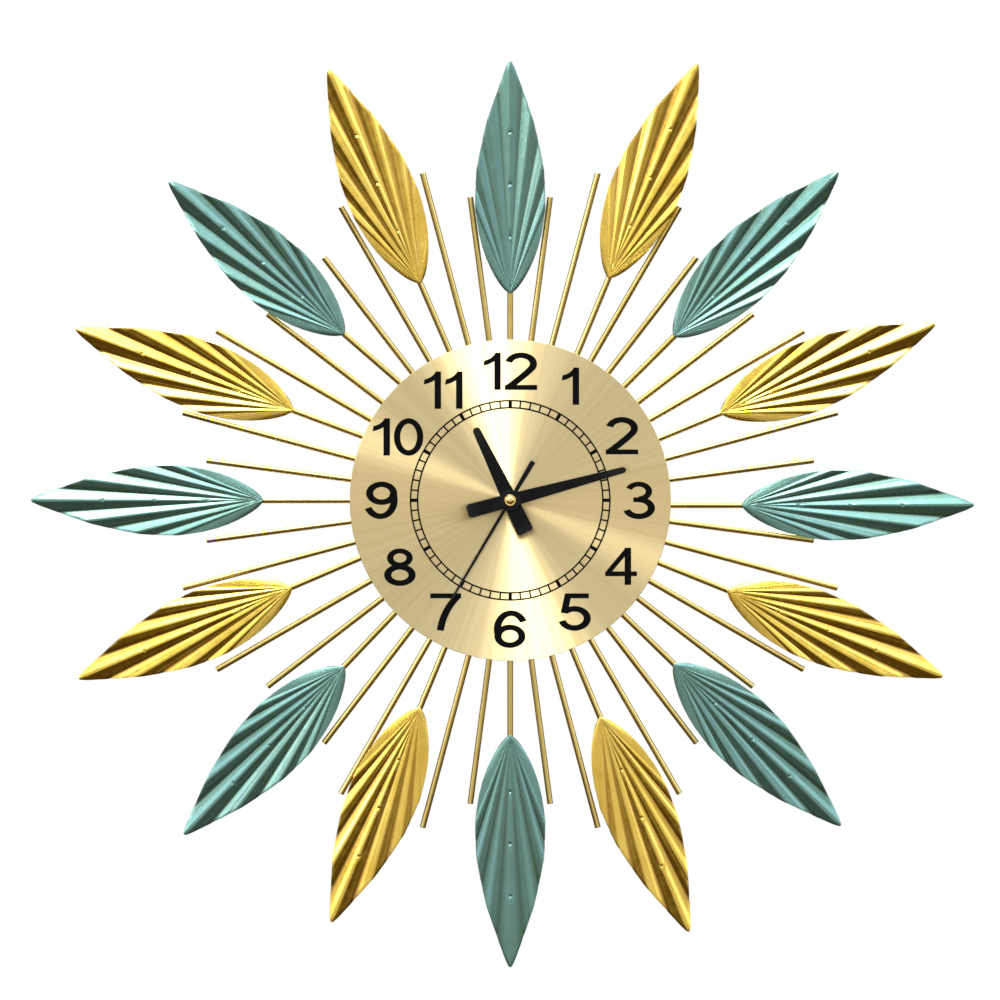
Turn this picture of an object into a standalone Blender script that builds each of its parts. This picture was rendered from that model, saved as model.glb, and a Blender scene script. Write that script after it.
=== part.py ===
"""Sunburst wall clock: a round dial on a rayed plate, 16 pressed leaves on wire stems, 32 free rods
and a battery-driven quartz movement. Metres, +Z up. The wall is the plane y = 0, the clock faces -Y
and its hands turn about the Y axis through the origin."""

import math

import bmesh
import bpy

# ---------------------------------------------------------------- sizes, in metres and degrees

GAP = 0.0003                    # clearance between neighbouring pieces

# Rays: every second of 32 directions holds a leaf stem, the rods stand one pitch either side of it
LEAF_COUNT = 16
ROD_PITCH = 7.5
ROD_RADIUS = 0.00225
ROD_SIDES = 8
ROD_LAP = 0.015                 # how far the wires run inwards behind the plate
ROD_CLEARANCE = 0.0006          # least space between a leaning stem and the rod beside it
SHORT_ROD_RADIUS = 0.229        # reach of the rods beside a teal leaf
LONG_ROD_RADIUS = 0.2535        # reach of the rods beside a gold leaf
ROD_BITE = 0.0003               # how deep the weld sinks a free rod into the plate

# Leaves
LEAF_BASE_RADIUS = 0.176        # from the clock's centre to the leaf's base
LEAF_LENGTH = 0.173
LEAF_WIDTH = 0.054
LEAF_GAUGE = 0.0008
LEAF_SHOULDER = 0.75            # exponents of the outline: how full the base is
LEAF_TAPER = 1.3                # and how fast it narrows to the tip
LEAF_BLUNTNESS = 0.12
LEAF_FAN_ANGLE = 55.0           # the fold lines fan out this far either side of the midrib
PLEAT_ANGLE = 7.0               # from one ridge to the next
PLEAT_COUNT = 3                 # ridges either side of the midrib
PLEAT_RISE = 0.022              # crest over valley, for each metre along a fold
MIDRIB_START = 0.018            # where the midrib's fold starts, from the leaf's base
FOLD_SPREAD = 0.0013            # how much nearer the base a fold starts for each degree of its angle
FOLD_HALVINGS = 40
STEM_UNDER_LEAF = 0.128         # how far a stem runs behind its leaf
WELD_PLACES = (0.042, 0.081, 0.120)
WELD_PAD_RADIUS = 0.0015
WELD_PAD_SIDES = 8

# Hand assembly leaves some leaves off their regular places
LEAF_SHIFTS = {0: -0.021, 1: 0.006, 2: -0.0025, 3: -0.0055, 4: -0.0025, 6: -0.0025, 9: -0.0065, 12: 0.009}
LEAF_SWINGS = {1: 1.4, 4: 1.2, 9: 1.0, 11: 0.8}
LEAF_LEANS = {5: -0.6, 6: -0.9, 10: -1.4, 11: -0.7, 13: -2.0, 14: -4.0, 15: -0.8}

# Movement case and the stack in front of it
CASE_WALL = 0.0012
CASE_CORNER = 0.0025
CASE_HEADROOM = 0.0038          # free height above the coil
CEILING_CLEARANCE = 0.001       # in front of the hour wheel
COVER_THICKNESS = 0.0015
DIVIDER_THICKNESS = 0.001       # the wall between the train and the battery bay
DIVIDER_CLEARANCE = 0.00095     # below the centre wheel
TUBE_CLEARANCE = 0.0004         # between the arbor and the tubes that turn round it
TUBE_WALL = 0.0006
POST_WALL = 0.001
POST_STANDING = 0.001           # the post's length in front of the nut
GASKET_THICKNESS = 0.0008
GASKET_WIDTH = 0.0047
PLATE_SETBACK = 0.010           # how far the plate stays inside the dial's edge
PLATE_THICKNESS = 0.002
DIAL_RADIUS = 0.120
DIAL_THICKNESS = 0.001
NUT_WALL = 0.00125
NUT_THICKNESS = 0.002

# Hands: angles clockwise from 12, as the clock stands at rest
HOUR_ANGLE = 334.2
MINUTE_ANGLE = 75.0
SECOND_ANGLE = 210.6
HAND_THICKNESS = 0.0008
HAND_SPACING = 0.0014
HOUR_STANDOFF = 0.0008          # between the post's end and the hour hand
HAND_CHAMFER = 0.0016
HUB_RADIUS = 0.0075
HUB_RELIEF = 0.0003             # how far a hub stands proud of its hand, front and back
HOUR_LENGTH, HOUR_TAIL = 0.060, 0.027
HOUR_WIDTH, HOUR_TIP_WIDTH, HOUR_TAIL_WIDTH = 0.0114, 0.0056, 0.0127
MINUTE_LENGTH, MINUTE_TAIL = 0.0895, 0.033
MINUTE_WIDTH, MINUTE_TIP_WIDTH, MINUTE_TAIL_WIDTH = 0.010, 0.0045, 0.0105
SECOND_LENGTH, SECOND_TAIL = 0.085, 0.0337
SECOND_WIDTH, SECOND_TIP_WIDTH, SECOND_TAIL_WIDTH = 0.0024, 0.0016, 0.004
SECOND_THICKNESS = 0.0006
SECOND_CHAMFER = 0.0006
SECOND_HUB_RADIUS = 0.0036
CAP_RADIUS = 0.0042
CAP_DOME_RADIUS = 0.003
CAP_RIM = 0.0008
CAP_DOME = 0.0012
CAP_DOME_STEPS = 5

# Gear train: teeth, modules and the tooth's shape in modules and shares of a pitch
ADDENDUM, DEDENDUM = 0.62, 0.95
TOOTH_AT_TIP, TOOTH_AT_ROOT = 0.19, 0.44
WHEEL_THICKNESS = 0.001
PINION_OVERLAP = 0.0001         # how far a pinion stands past its wheel on each side
SECOND_PINION, THIRD_WHEEL = 6, 45
THIRD_PINION, CENTRE_WHEEL, THIRD_MODULE = 6, 48, 0.0004
SECOND_WHEEL, FIFTH_PINION, FIFTH_MODULE = 30, 6, 0.000425
FIFTH_WHEEL, ROTOR_PINION, ROTOR_MODULE = 36, 6, 0.000333
CANNON_PINION, MOTION_WHEEL = 10, 30
MOTION_PINION, HOUR_WHEEL = 8, 32
CANNON_ROOT_WALL = 0.0001       # how far the cannon pinion's roots stand off its tube
THIRD_DIRECTION, FIFTH_DIRECTION, ROTOR_DIRECTION, MOTION_DIRECTION = 300.0, 45.0, 80.0, 100.0
FIFTH_STEP = 0.0012             # from the arbors' back ends to the fifth wheel, and so on forwards
SECOND_STEP = 0.0019
THIRD_STEP = 0.0022
CENTRE_STEP = 0.0022
MOTION_STEP = 0.0018
HOUR_STEP = 0.0016
ARBOR_RADIUS = 0.0005
TRAIN_PLATE_THICKNESS = 0.0005
TRAIN_PLATE_HALF_WIDTH = 0.020
STUD_RADIUS = 0.0006
SECOND_PIN_RADIUS = 0.0006
MAGNET_RADIUS, MAGNET_LENGTH = 0.003, 0.003
MAGNET_STEP = 0.0007            # in front of the fifth wheel
KNOB_RADIUS = 0.0045
KNOB_TEETH = 24
KNOB_BACK, KNOB_THICKNESS = 0.0004, 0.002
KNOB_SHAFT_RADIUS = 0.0012
KNOB_CLEARANCE = 0.0005

# Electrical pieces
BATTERY_RADIUS = 0.0071
BATTERY_LENGTH = 0.050
BATTERY_NUB_RADIUS, BATTERY_NUB_LENGTH = 0.00275, 0.001
BATTERY_CLEARANCE = 0.0004      # all round the cell, and between it and the wall
CONTACT_THICKNESS = 0.0005
CONTACT_WIDTH = 0.009
CONTACT_DOME = 0.0006
CONTACT_DOME_RADIUS = 0.0025
BOARD_LEFT, BOARD_RIGHT = -0.024, -0.004
BOARD_HEIGHT, BOARD_THICKNESS = 0.0175, 0.0012
BOARD_STANDOFF = 0.0012
CRYSTAL_RADIUS, CRYSTAL_LENGTH = 0.001, 0.0065
CHIP_RADIUS = 0.0022
COIL_LEFT, COIL_RIGHT = 0.0102, 0.0206
COIL_HEIGHT = 0.019
COIL_RADIUS, WINDING_RADIUS, COIL_FLANGE = 0.004, 0.0034, 0.0008
COIL_SIDE_GAP = 0.0004          # between the bobbin and the stator's arms
STATOR_BOTTOM, STATOR_YOKE_TOP = 0.0015, 0.0125
STATOR_ARM_WIDTH = 0.0025
STATOR_STEP = 0.0004            # in front of the second wheel
STATOR_THICKNESS = 0.0008

# Wall fittings
BRIDGE_CLEARANCE = 0.005        # above the movement
BRIDGE_HEIGHT = 0.022
BRIDGE_HALF_WIDTH = 0.020
BRIDGE_FLANGE = 0.015
BRIDGE_THICKNESS = 0.0012
KEYHOLE_RISE = 0.008            # from the strip's lower edge to the middle of the keyhole's bowl
KEYHOLE_RADIUS, SLOT_RADIUS, SLOT_RISE = 0.0045, 0.0023, 0.0085
KEYHOLE_STEP = 18.0             # degrees between the points of the keyhole's round ends
BUMPER_SPREAD, BUMPER_HEIGHT = 0.050, -0.050
BUMPER_FOOT_RADIUS, BUMPER_TOP_RADIUS = 0.0065, 0.0055

ROUND_SIDES = 32
DIAL_SIDES = 64
SMALL_SIDES = 16

# ---------------------------------------------------------------- the turning stack and the gears

minute_bore = SECOND_PIN_RADIUS + TUBE_CLEARANCE
minute_tube = minute_bore + TUBE_WALL
hour_bore = minute_tube + TUBE_CLEARANCE
hour_tube = hour_bore + TUBE_WALL
post_bore = hour_tube + TUBE_CLEARANCE
post_radius = post_bore + POST_WALL
post_hole = post_radius + GAP

motion_module = (minute_tube + CANNON_ROOT_WALL) / (CANNON_PINION / 2 - DEDENDUM)
third_distance = THIRD_MODULE * (THIRD_PINION + CENTRE_WHEEL) / 2
second_module = 2 * third_distance / (SECOND_PINION + THIRD_WHEEL)
fifth_distance = FIFTH_MODULE * (SECOND_WHEEL + FIFTH_PINION) / 2
rotor_distance = ROTOR_MODULE * (FIFTH_WHEEL + ROTOR_PINION) / 2
motion_distance = motion_module * (CANNON_PINION + MOTION_WHEEL) / 2
hour_module = 2 * motion_distance / (MOTION_PINION + HOUR_WHEEL)


def along(direction, distance, start=(0.0, 0.0)):
    """The point at this distance from start, in a direction in degrees clockwise from 12."""
    angle = math.radians(direction)
    return start[0] + distance * math.sin(angle), start[1] + distance * math.cos(angle)


third_axis = along(THIRD_DIRECTION, third_distance)
fifth_axis = along(FIFTH_DIRECTION, fifth_distance)
rotor_axis = along(ROTOR_DIRECTION, rotor_distance, fifth_axis)
motion_axis = along(MOTION_DIRECTION, motion_distance)
knob_axis = along(MOTION_DIRECTION, motion_distance, motion_axis)

# ---------------------------------------------------------------- levels in front of the wall

cover_front = COVER_THICKNESS + GAP
arbor_back = cover_front + GAP
fifth_level = arbor_back + FIFTH_STEP
second_level = fifth_level + SECOND_STEP
third_level = second_level + THIRD_STEP
centre_level = third_level + CENTRE_STEP
motion_level = centre_level + MOTION_STEP
hour_level = motion_level + HOUR_STEP
train_plate_back = (third_level + WHEEL_THICKNESS + centre_level - TRAIN_PLATE_THICKNESS) / 2
pivot_front = train_plate_back + TRAIN_PLATE_THICKNESS - GAP
magnet_back = fifth_level + WHEEL_THICKNESS + MAGNET_STEP
stator_back = second_level + WHEEL_THICKNESS + STATOR_STEP
board_back = cover_front + BOARD_STANDOFF
battery_level = BATTERY_CLEARANCE + BATTERY_RADIUS
bay_front = battery_level + BATTERY_RADIUS + BATTERY_CLEARANCE
train_front = hour_level + WHEEL_THICKNESS + CEILING_CLEARANCE
case_ceiling = max(bay_front, train_front)
case_front = case_ceiling + CASE_WALL
gasket_back = case_front + GAP
gasket_front = gasket_back + GASKET_THICKNESS
fitting_front = gasket_front        # the wall fittings, too, stop one gap behind the plate
plate_back = gasket_front + GAP
plate_front = plate_back + PLATE_THICKNESS
dial_back = plate_front + GAP
dial_front = dial_back + DIAL_THICKNESS
nut_back = dial_front + GAP
nut_front = nut_back + NUT_THICKNESS
post_front = nut_front + POST_STANDING
hour_back = post_front + HOUR_STANDOFF
hour_front = hour_back + HAND_THICKNESS
minute_back = hour_front + HAND_SPACING
minute_front = minute_back + HAND_THICKNESS
second_back = minute_front + HAND_SPACING
second_front = second_back + SECOND_THICKNESS
cap_back = second_front + HUB_RELIEF + GAP
stem_level = plate_back - GAP - ROD_RADIUS
rod_level = plate_back + ROD_BITE - ROD_RADIUS
leaf_back = rod_level + ROD_RADIUS + GAP
leaf_level = leaf_back + PLEAT_RISE * LEAF_LENGTH / 2

# ---------------------------------------------------------------- places across the wall

plate_radius = DIAL_RADIUS - PLATE_SETBACK
rod_inner_radius = plate_radius - ROD_LAP
divider_top = -THIRD_MODULE * (CENTRE_WHEEL / 2 + ADDENDUM) - DIVIDER_CLEARANCE
divider_bottom = divider_top - DIVIDER_THICKNESS
battery_height = divider_bottom - BATTERY_CLEARANCE - BATTERY_RADIUS
bay_bottom = battery_height - BATTERY_RADIUS - BATTERY_CLEARANCE
contact_face = BATTERY_LENGTH / 2 + BATTERY_CLEARANCE + CONTACT_DOME
bay_half_width = contact_face + CONTACT_THICKNESS + GAP
train_top = COIL_HEIGHT + COIL_RADIUS + CASE_HEADROOM
case_half_width = bay_half_width + CASE_WALL
case_bottom = bay_bottom - CASE_WALL
case_top = train_top + CASE_WALL
bridge_bottom = case_top + BRIDGE_CLEARANCE
bridge_top = bridge_bottom + BRIDGE_HEIGHT
keyhole_height = bridge_bottom + KEYHOLE_RISE

# ---------------------------------------------------------------- finishes: colour, metallic, roughness

TEAL = ((0.12, 0.36, 0.34), 0.9, 0.32)
GOLD = ((0.72, 0.46, 0.10), 1.0, 0.30)
ROD_BRASS = ((0.66, 0.44, 0.12), 1.0, 0.30)
CHAMPAGNE = ((0.78, 0.62, 0.36), 1.0, 0.35)
BLACK_PAINT = ((0.012, 0.012, 0.012), 0.0, 0.35)
STEEL = ((0.55, 0.55, 0.56), 1.0, 0.35)
BRASS = ((0.75, 0.55, 0.22), 1.0, 0.30)
RUBBER = ((0.03, 0.03, 0.03), 0.0, 0.80)
BLACK_PLASTIC = ((0.025, 0.025, 0.027), 0.0, 0.45)
WHITE_PLASTIC = ((0.80, 0.80, 0.77), 0.0, 0.40)
GREEN_BOARD = ((0.03, 0.20, 0.07), 0.0, 0.50)
COPPER = ((0.72, 0.30, 0.12), 1.0, 0.40)
BATTERY_WRAP = ((0.05, 0.10, 0.30), 0.0, 0.35)

# ---------------------------------------------------------------- making and placing


def clear_scene():
    for obj in list(bpy.data.objects):
        bpy.data.objects.remove(obj, do_unlink=True)


clear_scene()
parts = bpy.data.collections.new("sunburst_clock")
bpy.context.scene.collection.children.link(parts)

# Every piece is made in the clock's own face frame: x to the right, y up and z out of the wall
face = bpy.data.objects.new("clock_face_frame", None)
face.rotation_euler = (math.radians(90), 0.0, 0.0)
parts.objects.link(face)


def placed(name, data):
    obj = bpy.data.objects.new(name, data)
    obj.parent = face
    parts.objects.link(obj)
    return obj


def settle(obj):
    """Makes the object's shape, modifiers and all, its plain mesh."""
    bpy.context.view_layer.update()
    evaluated = obj.evaluated_get(bpy.context.evaluated_depsgraph_get())
    mesh = bpy.data.meshes.new_from_object(evaluated)
    obj.modifiers.clear()
    obj.data = mesh
    return obj


def finish(obj, look, name=None):
    """Names the piece and gives it a material of its own."""
    obj.name = name or obj.name
    obj.data.name = obj.name
    colour, metallic, roughness = look
    material = bpy.data.materials.new(obj.name)
    material.use_nodes = True
    shader = material.node_tree.nodes["Principled BSDF"]
    shader.inputs["Base Color"].default_value = (*colour, 1.0)
    shader.inputs["Metallic"].default_value = metallic
    shader.inputs["Roughness"].default_value = roughness
    obj.data.materials.clear()
    obj.data.materials.append(material)
    obj.data.shade_smooth()
    obj.data.set_sharp_from_angle(angle=math.radians(30))
    return obj


def combine(obj, operation, *others):
    """Joins the others to the object, or cuts them out of it, and removes them."""
    for other in others:
        modifier = obj.modifiers.new(other.name, "BOOLEAN")
        modifier.operation = operation
        modifier.solver = "EXACT"
        modifier.object = other
    settle(obj)
    for other in others:
        bpy.data.objects.remove(other, do_unlink=True)
    return obj


def sheet(name, loops, back, front):
    """A flat piece from back to front: the first loop is its outline and the rest are holes."""
    curve = bpy.data.curves.new(name, "CURVE")
    curve.dimensions = "2D"
    curve.fill_mode = "BOTH"
    curve.extrude = (front - back) / 2
    for loop in loops:
        spline = curve.splines.new("POLY")
        spline.points.add(len(loop) - 1)
        for point, (x, y) in zip(spline.points, loop):
            point.co = (x, y, 0.0, 1.0)
        spline.use_cyclic_u = True
    outline = placed(name + "_outline", curve)
    outline.location.z = (back + front) / 2
    bpy.context.view_layer.update()
    evaluated = outline.evaluated_get(bpy.context.evaluated_depsgraph_get())
    mesh = bpy.data.meshes.new_from_object(evaluated)
    mesh.transform(outline.matrix_local)
    bpy.data.objects.remove(outline, do_unlink=True)
    shape = bmesh.new()
    shape.from_mesh(mesh)
    bmesh.ops.remove_doubles(shape, verts=shape.verts, dist=1e-6)
    bmesh.ops.recalc_face_normals(shape, faces=shape.faces)
    shape.to_mesh(mesh)
    shape.free()
    return placed(name, mesh)


def turned(name, profile, sides=ROUND_SIDES, ring=False):
    """A turned piece about z. Its profile, of (radius, level) points, runs down the outer side."""
    count = len(profile)
    edges = [(i, i + 1) for i in range(count - 1)]
    if ring:
        edges.append((count - 1, 0))
    mesh = bpy.data.meshes.new(name)
    mesh.from_pydata([(radius, 0.0, level) for radius, level in profile], edges, [])
    obj = placed(name, mesh)
    screw = obj.modifiers.new("turn", "SCREW")
    screw.axis = "Z"
    screw.steps = sides
    screw.render_steps = sides
    screw.use_merge_vertices = True
    screw.merge_threshold = 1e-6
    return settle(obj)


def tube(name, outer, inner, back, front, sides=ROUND_SIDES):
    return turned(name, ((outer, front), (outer, back), (inner, back), (inner, front)), sides, ring=True)


def shaft(name, radius, back, front, sides=ROUND_SIDES):
    return turned(name, ((0.0, front), (radius, front), (radius, back), (0.0, back)), sides)


def block(name, low, high, corner=0.0):
    """A box between two corners, with the edges that run out of the wall rounded."""
    shape = bmesh.new()
    bmesh.ops.create_cube(shape, size=1.0)
    for vert in shape.verts:
        for axis in range(3):
            vert.co[axis] = high[axis] if vert.co[axis] > 0 else low[axis]
    if corner:
        upright = [e for e in shape.edges if abs(e.verts[0].co.z - e.verts[1].co.z) > GAP]
        bmesh.ops.bevel(shape, geom=upright, offset=corner, segments=3, affect="EDGES", profile=0.5)
    mesh = bpy.data.meshes.new(name)
    shape.to_mesh(mesh)
    shape.free()
    return placed(name, mesh)


def wire(name, radius, start, end, level, sides=ROD_SIDES):
    """A straight round wire along x, from start to end."""
    shape = bmesh.new()
    length = end - start
    bmesh.ops.create_cone(shape, cap_ends=True, segments=sides, radius1=radius, radius2=radius, depth=length)
    mesh = bpy.data.meshes.new(name)
    shape.to_mesh(mesh)
    shape.free()
    rod = placed(name, mesh)
    rod.rotation_euler = (0.0, math.radians(90), 0.0)
    rod.location = ((start + end) / 2, 0.0, level)
    return in_face_frame(rod)


def in_face_frame(obj):
    """Moves the object's own place into its mesh, so that its origin is the clock's."""
    bpy.context.view_layer.update()
    obj.data.transform(obj.matrix_local)
    obj.location = (0.0, 0.0, 0.0)
    obj.rotation_euler = (0.0, 0.0, 0.0)
    return obj


def circle(radius, sides=ROUND_SIDES, centre=(0.0, 0.0)):
    return [along(360 * i / sides, radius, centre) for i in range(sides)]


def turn_to(obj, direction, place=(0.0, 0.0), level=0.0):
    """Puts a piece made along x at a place, with its x pointing in this direction."""
    obj.rotation_euler.z = math.radians(90 - direction)
    obj.location = (*place, level)
    return obj


# ---------------------------------------------------------------- rays and leaves


def leaf_half_width(distance):
    """Half the leaf's width at this distance from its base."""
    peak = LEAF_SHOULDER / (LEAF_SHOULDER + LEAF_TAPER - LEAF_BLUNTNESS)
    run = min(max(distance / LEAF_LENGTH, 0.0), 1.0)
    left = (1 - run) / (1 - peak)
    taper = (1 - LEAF_BLUNTNESS) * left**LEAF_TAPER + LEAF_BLUNTNESS * math.sqrt(left)
    return LEAF_WIDTH / 2 * (run / peak) ** LEAF_SHOULDER * taper


def fold_start(angle):
    """Where the fold at this angle leaves the midrib."""
    return max(MIDRIB_START - FOLD_SPREAD * abs(angle), 0.0)


def fold_end(angle):
    """Distance from the base at which the fold meets the leaf's edge, found by halving."""
    start = fold_start(angle)
    slope = math.tan(math.radians(abs(angle)))
    inside, outside = start, LEAF_LENGTH
    for _ in range(FOLD_HALVINGS):
        middle = (inside + outside) / 2
        if (middle - start) * slope < leaf_half_width(middle):
            inside = middle
        else:
            outside = middle
    return inside


def pleat(angle):
    """+1 on a ridge, -1 in a valley, and 0 past the last slope."""
    pitches = abs(angle) / PLEAT_ANGLE
    if pitches > PLEAT_COUNT + 0.25:
        return 0.0
    return 1 - 4 * abs(pitches - round(pitches))


def leaf_point(angle, share):
    """A point of the leaf's back face: this share of the way along the fold at this angle."""
    start = fold_start(angle)
    reach = (fold_end(angle) - start) * share
    side = math.tan(math.radians(angle)) * reach
    rise = PLEAT_RISE / 2 * math.hypot(reach, side) * pleat(angle)
    return start + reach, side, rise


def leaf_mesh():
    """One pleated leaf along x, with its base at the origin."""
    ridges = [PLEAT_ANGLE * i / 2 for i in range(1, 2 * PLEAT_COUNT + 1)]
    edge = ridges[-1] + PLEAT_ANGLE / 4
    half = [PLEAT_ANGLE / 6, *ridges, edge, (2 * edge + LEAF_FAN_ANGLE) / 3, LEAF_FAN_ANGLE]
    angles = [-a for a in reversed(half)] + [0.0] + half
    shape = bmesh.new()
    rows = len(angles) - 1
    bmesh.ops.create_grid(shape, x_segments=1, y_segments=rows, size=1.0)
    for vert in shape.verts:
        share = (vert.co.x + 1) / 2
        angle = angles[round((vert.co.y + 1) / 2 * rows)]
        vert.co = leaf_point(angle, share)
    bmesh.ops.remove_doubles(shape, verts=shape.verts, dist=1e-6)
    mesh = bpy.data.meshes.new("leaf")
    shape.to_mesh(mesh)
    shape.free()
    return mesh


def stem_start(base_radius, lean):
    """The radius at which a stem begins: a leaning one begins where it clears the rod beside it."""
    tilt = math.tan(math.radians(abs(lean)))
    aside = 2 * ROD_RADIUS + ROD_CLEARANCE + base_radius * tilt
    return max(rod_inner_radius, aside / (math.sin(math.radians(ROD_PITCH)) + tilt))


def add_leaf(index):
    """A stem and the leaf that it carries."""
    direction = 360 / LEAF_COUNT * index
    look = TEAL if index % 2 == 0 else GOLD
    lean = LEAF_LEANS.get(index, 0.0)
    base_radius = LEAF_BASE_RADIUS + LEAF_SHIFTS.get(index, 0.0)
    base = along(direction + LEAF_SWINGS.get(index, 0.0), base_radius)
    leaf = placed(f"leaf_{index + 1:02d}", leaf_mesh())
    solidify = leaf.modifiers.new("gauge", "SOLIDIFY")
    solidify.thickness = LEAF_GAUGE
    solidify.offset = 1.0
    solidify.use_even_offset = True
    turn_to(finish(leaf, look), direction + lean, base, leaf_level)
    start = stem_start(base_radius, lean) - base_radius
    stem = wire("stem", ROD_RADIUS, start, STEM_UNDER_LEAF, stem_level)
    pads = []
    for weld in WELD_PLACES:
        ridge = leaf_level + PLEAT_RISE / 2 * (weld - MIDRIB_START)
        slope = PLEAT_RISE / math.radians(PLEAT_ANGLE / 2)
        top = ridge - GAP - slope * WELD_PAD_RADIUS
        pad = shaft("weld", WELD_PAD_RADIUS, stem_level, top, WELD_PAD_SIDES)
        pad.location.x = weld
        pads.append(pad)
    combine(stem, "UNION", *pads)
    turn_to(finish(stem, ROD_BRASS, f"leaf_stem_{index + 1:02d}"), direction + lean, base)


def add_ray_plate():
    """The steel plate behind the dial, with the free rods welded across its back."""
    outline = circle(plate_radius, DIAL_SIDES)
    plate = sheet("ray_plate", [outline, circle(post_hole)], plate_back, plate_front)
    rods = []
    for index in range(LEAF_COUNT):
        reach = SHORT_ROD_RADIUS if index % 2 == 0 else LONG_ROD_RADIUS
        for side in (-1, 1):
            rod = wire("rod", ROD_RADIUS, rod_inner_radius, reach, rod_level)
            rods.append(turn_to(rod, 360 / LEAF_COUNT * index + side * ROD_PITCH))
    finish(combine(plate, "UNION", *rods), ROD_BRASS)


# ---------------------------------------------------------------- dial, hands and wall fittings


def add_dial():
    dial = sheet("dial_disc", [circle(DIAL_RADIUS, DIAL_SIDES), circle(post_hole)], dial_back, dial_front)
    finish(dial, CHAMPAGNE)
    nut_radius = (post_hole + NUT_WALL) / math.cos(math.radians(30))
    nut = sheet("shaft_nut", [circle(nut_radius, 6), circle(post_hole)], nut_back, nut_front)
    finish(nut, BRASS)
    finish(tube("gasket", post_hole + GASKET_WIDTH, post_hole, gasket_back, gasket_front), RUBBER)


def hand_outline(length, tail, width, tip_width, tail_width, chamfer):
    """A hand along x that narrows from its hub to both ends, with its corners cut."""
    side = [
        (-tail, tail_width / 2 - chamfer),
        (chamfer - tail, tail_width / 2),
        (0.0, width / 2),
        (length - chamfer, tip_width / 2),
        (length, tip_width / 2 - chamfer),
    ]
    return side + [(x, -y) for x, y in reversed(side)]


def add_hand(name, outline, hub_radius, bore, levels, direction):
    back, front = levels
    hand = sheet(name, [outline], back, front)
    hub = shaft("hub", hub_radius, back - HUB_RELIEF, front + HUB_RELIEF)
    combine(hand, "UNION", hub)
    combine(hand, "DIFFERENCE", shaft("bore", bore, back - 2 * HUB_RELIEF, front + 2 * HUB_RELIEF))
    turn_to(finish(hand, BLACK_PAINT), direction)


def add_hands():
    hour = hand_outline(HOUR_LENGTH, HOUR_TAIL, HOUR_WIDTH, HOUR_TIP_WIDTH, HOUR_TAIL_WIDTH, HAND_CHAMFER)
    minute = hand_outline(
        MINUTE_LENGTH, MINUTE_TAIL, MINUTE_WIDTH, MINUTE_TIP_WIDTH, MINUTE_TAIL_WIDTH, HAND_CHAMFER
    )
    second = hand_outline(
        SECOND_LENGTH, SECOND_TAIL, SECOND_WIDTH, SECOND_TIP_WIDTH, SECOND_TAIL_WIDTH, SECOND_CHAMFER
    )
    second_bore = SECOND_PIN_RADIUS + GAP
    add_hand("hour_hand", hour, HUB_RADIUS, hour_tube + GAP, (hour_back, hour_front), HOUR_ANGLE)
    add_hand("minute_hand", minute, HUB_RADIUS, minute_tube + GAP, (minute_back, minute_front), MINUTE_ANGLE)
    add_hand("second_hand", second, SECOND_HUB_RADIUS, second_bore, (second_back, second_front), SECOND_ANGLE)
    shoulder = cap_back + CAP_RIM
    dome = [along(90 * step / CAP_DOME_STEPS, 1.0) for step in range(CAP_DOME_STEPS + 1)]
    profile = [(CAP_DOME_RADIUS * x, shoulder + CAP_DOME * y) for x, y in dome]
    profile += [(CAP_RADIUS, shoulder), (CAP_RADIUS, cap_back), (0.0, cap_back)]
    finish(turned("second_cap", profile, SMALL_SIDES), BRASS)


def add_hanger():
    """A bent strip across the back, above the movement, with a keyhole in its wall face."""
    inner = BRIDGE_HALF_WIDTH - BRIDGE_THICKNESS
    outer = BRIDGE_HALF_WIDTH + BRIDGE_FLANGE
    flange_back = fitting_front - BRIDGE_THICKNESS
    right = [
        (BRIDGE_HALF_WIDTH, 0.0),
        (BRIDGE_HALF_WIDTH, flange_back),
        (outer, flange_back),
        (outer, fitting_front),
        (inner, fitting_front),
        (inner, BRIDGE_THICKNESS),
    ]
    left = [(-x, level) for x, level in reversed(right)]
    bridge = sheet("hanger_bracket", [right + left], -bridge_top, -bridge_bottom)
    bridge.rotation_euler.x = math.radians(90)
    in_face_frame(bridge)
    slot_end = (0.0, keyhole_height + SLOT_RISE)
    steps = round(180 / KEYHOLE_STEP)
    rise = [along(180 * i / steps - 90, SLOT_RADIUS, slot_end) for i in range(steps + 1)]
    neck = math.degrees(math.asin(SLOT_RADIUS / KEYHOLE_RADIUS))
    turns = round((360 - 2 * neck) / KEYHOLE_STEP)
    turn = (360 - 2 * neck) / turns
    bowl = [along(neck + turn * i, KEYHOLE_RADIUS, (0.0, keyhole_height)) for i in range(turns + 1)]
    keyhole = sheet("keyhole", [rise + bowl], -BRIDGE_THICKNESS, 2 * BRIDGE_THICKNESS)
    finish(combine(bridge, "DIFFERENCE", keyhole), STEEL)


def add_bumpers():
    """Two soft feet that hold the foot of the plate as far off the wall as the movement does."""
    for name, side in (("bumper_left", -1), ("bumper_right", 1)):
        profile = (
            (0.0, fitting_front),
            (BUMPER_TOP_RADIUS, fitting_front),
            (BUMPER_FOOT_RADIUS, 0.0),
            (0.0, 0.0),
        )
        bumper = finish(turned(name, profile), RUBBER)
        bumper.location = (side * BUMPER_SPREAD, BUMPER_HEIGHT, 0.0)


# ---------------------------------------------------------------- movement case


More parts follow.
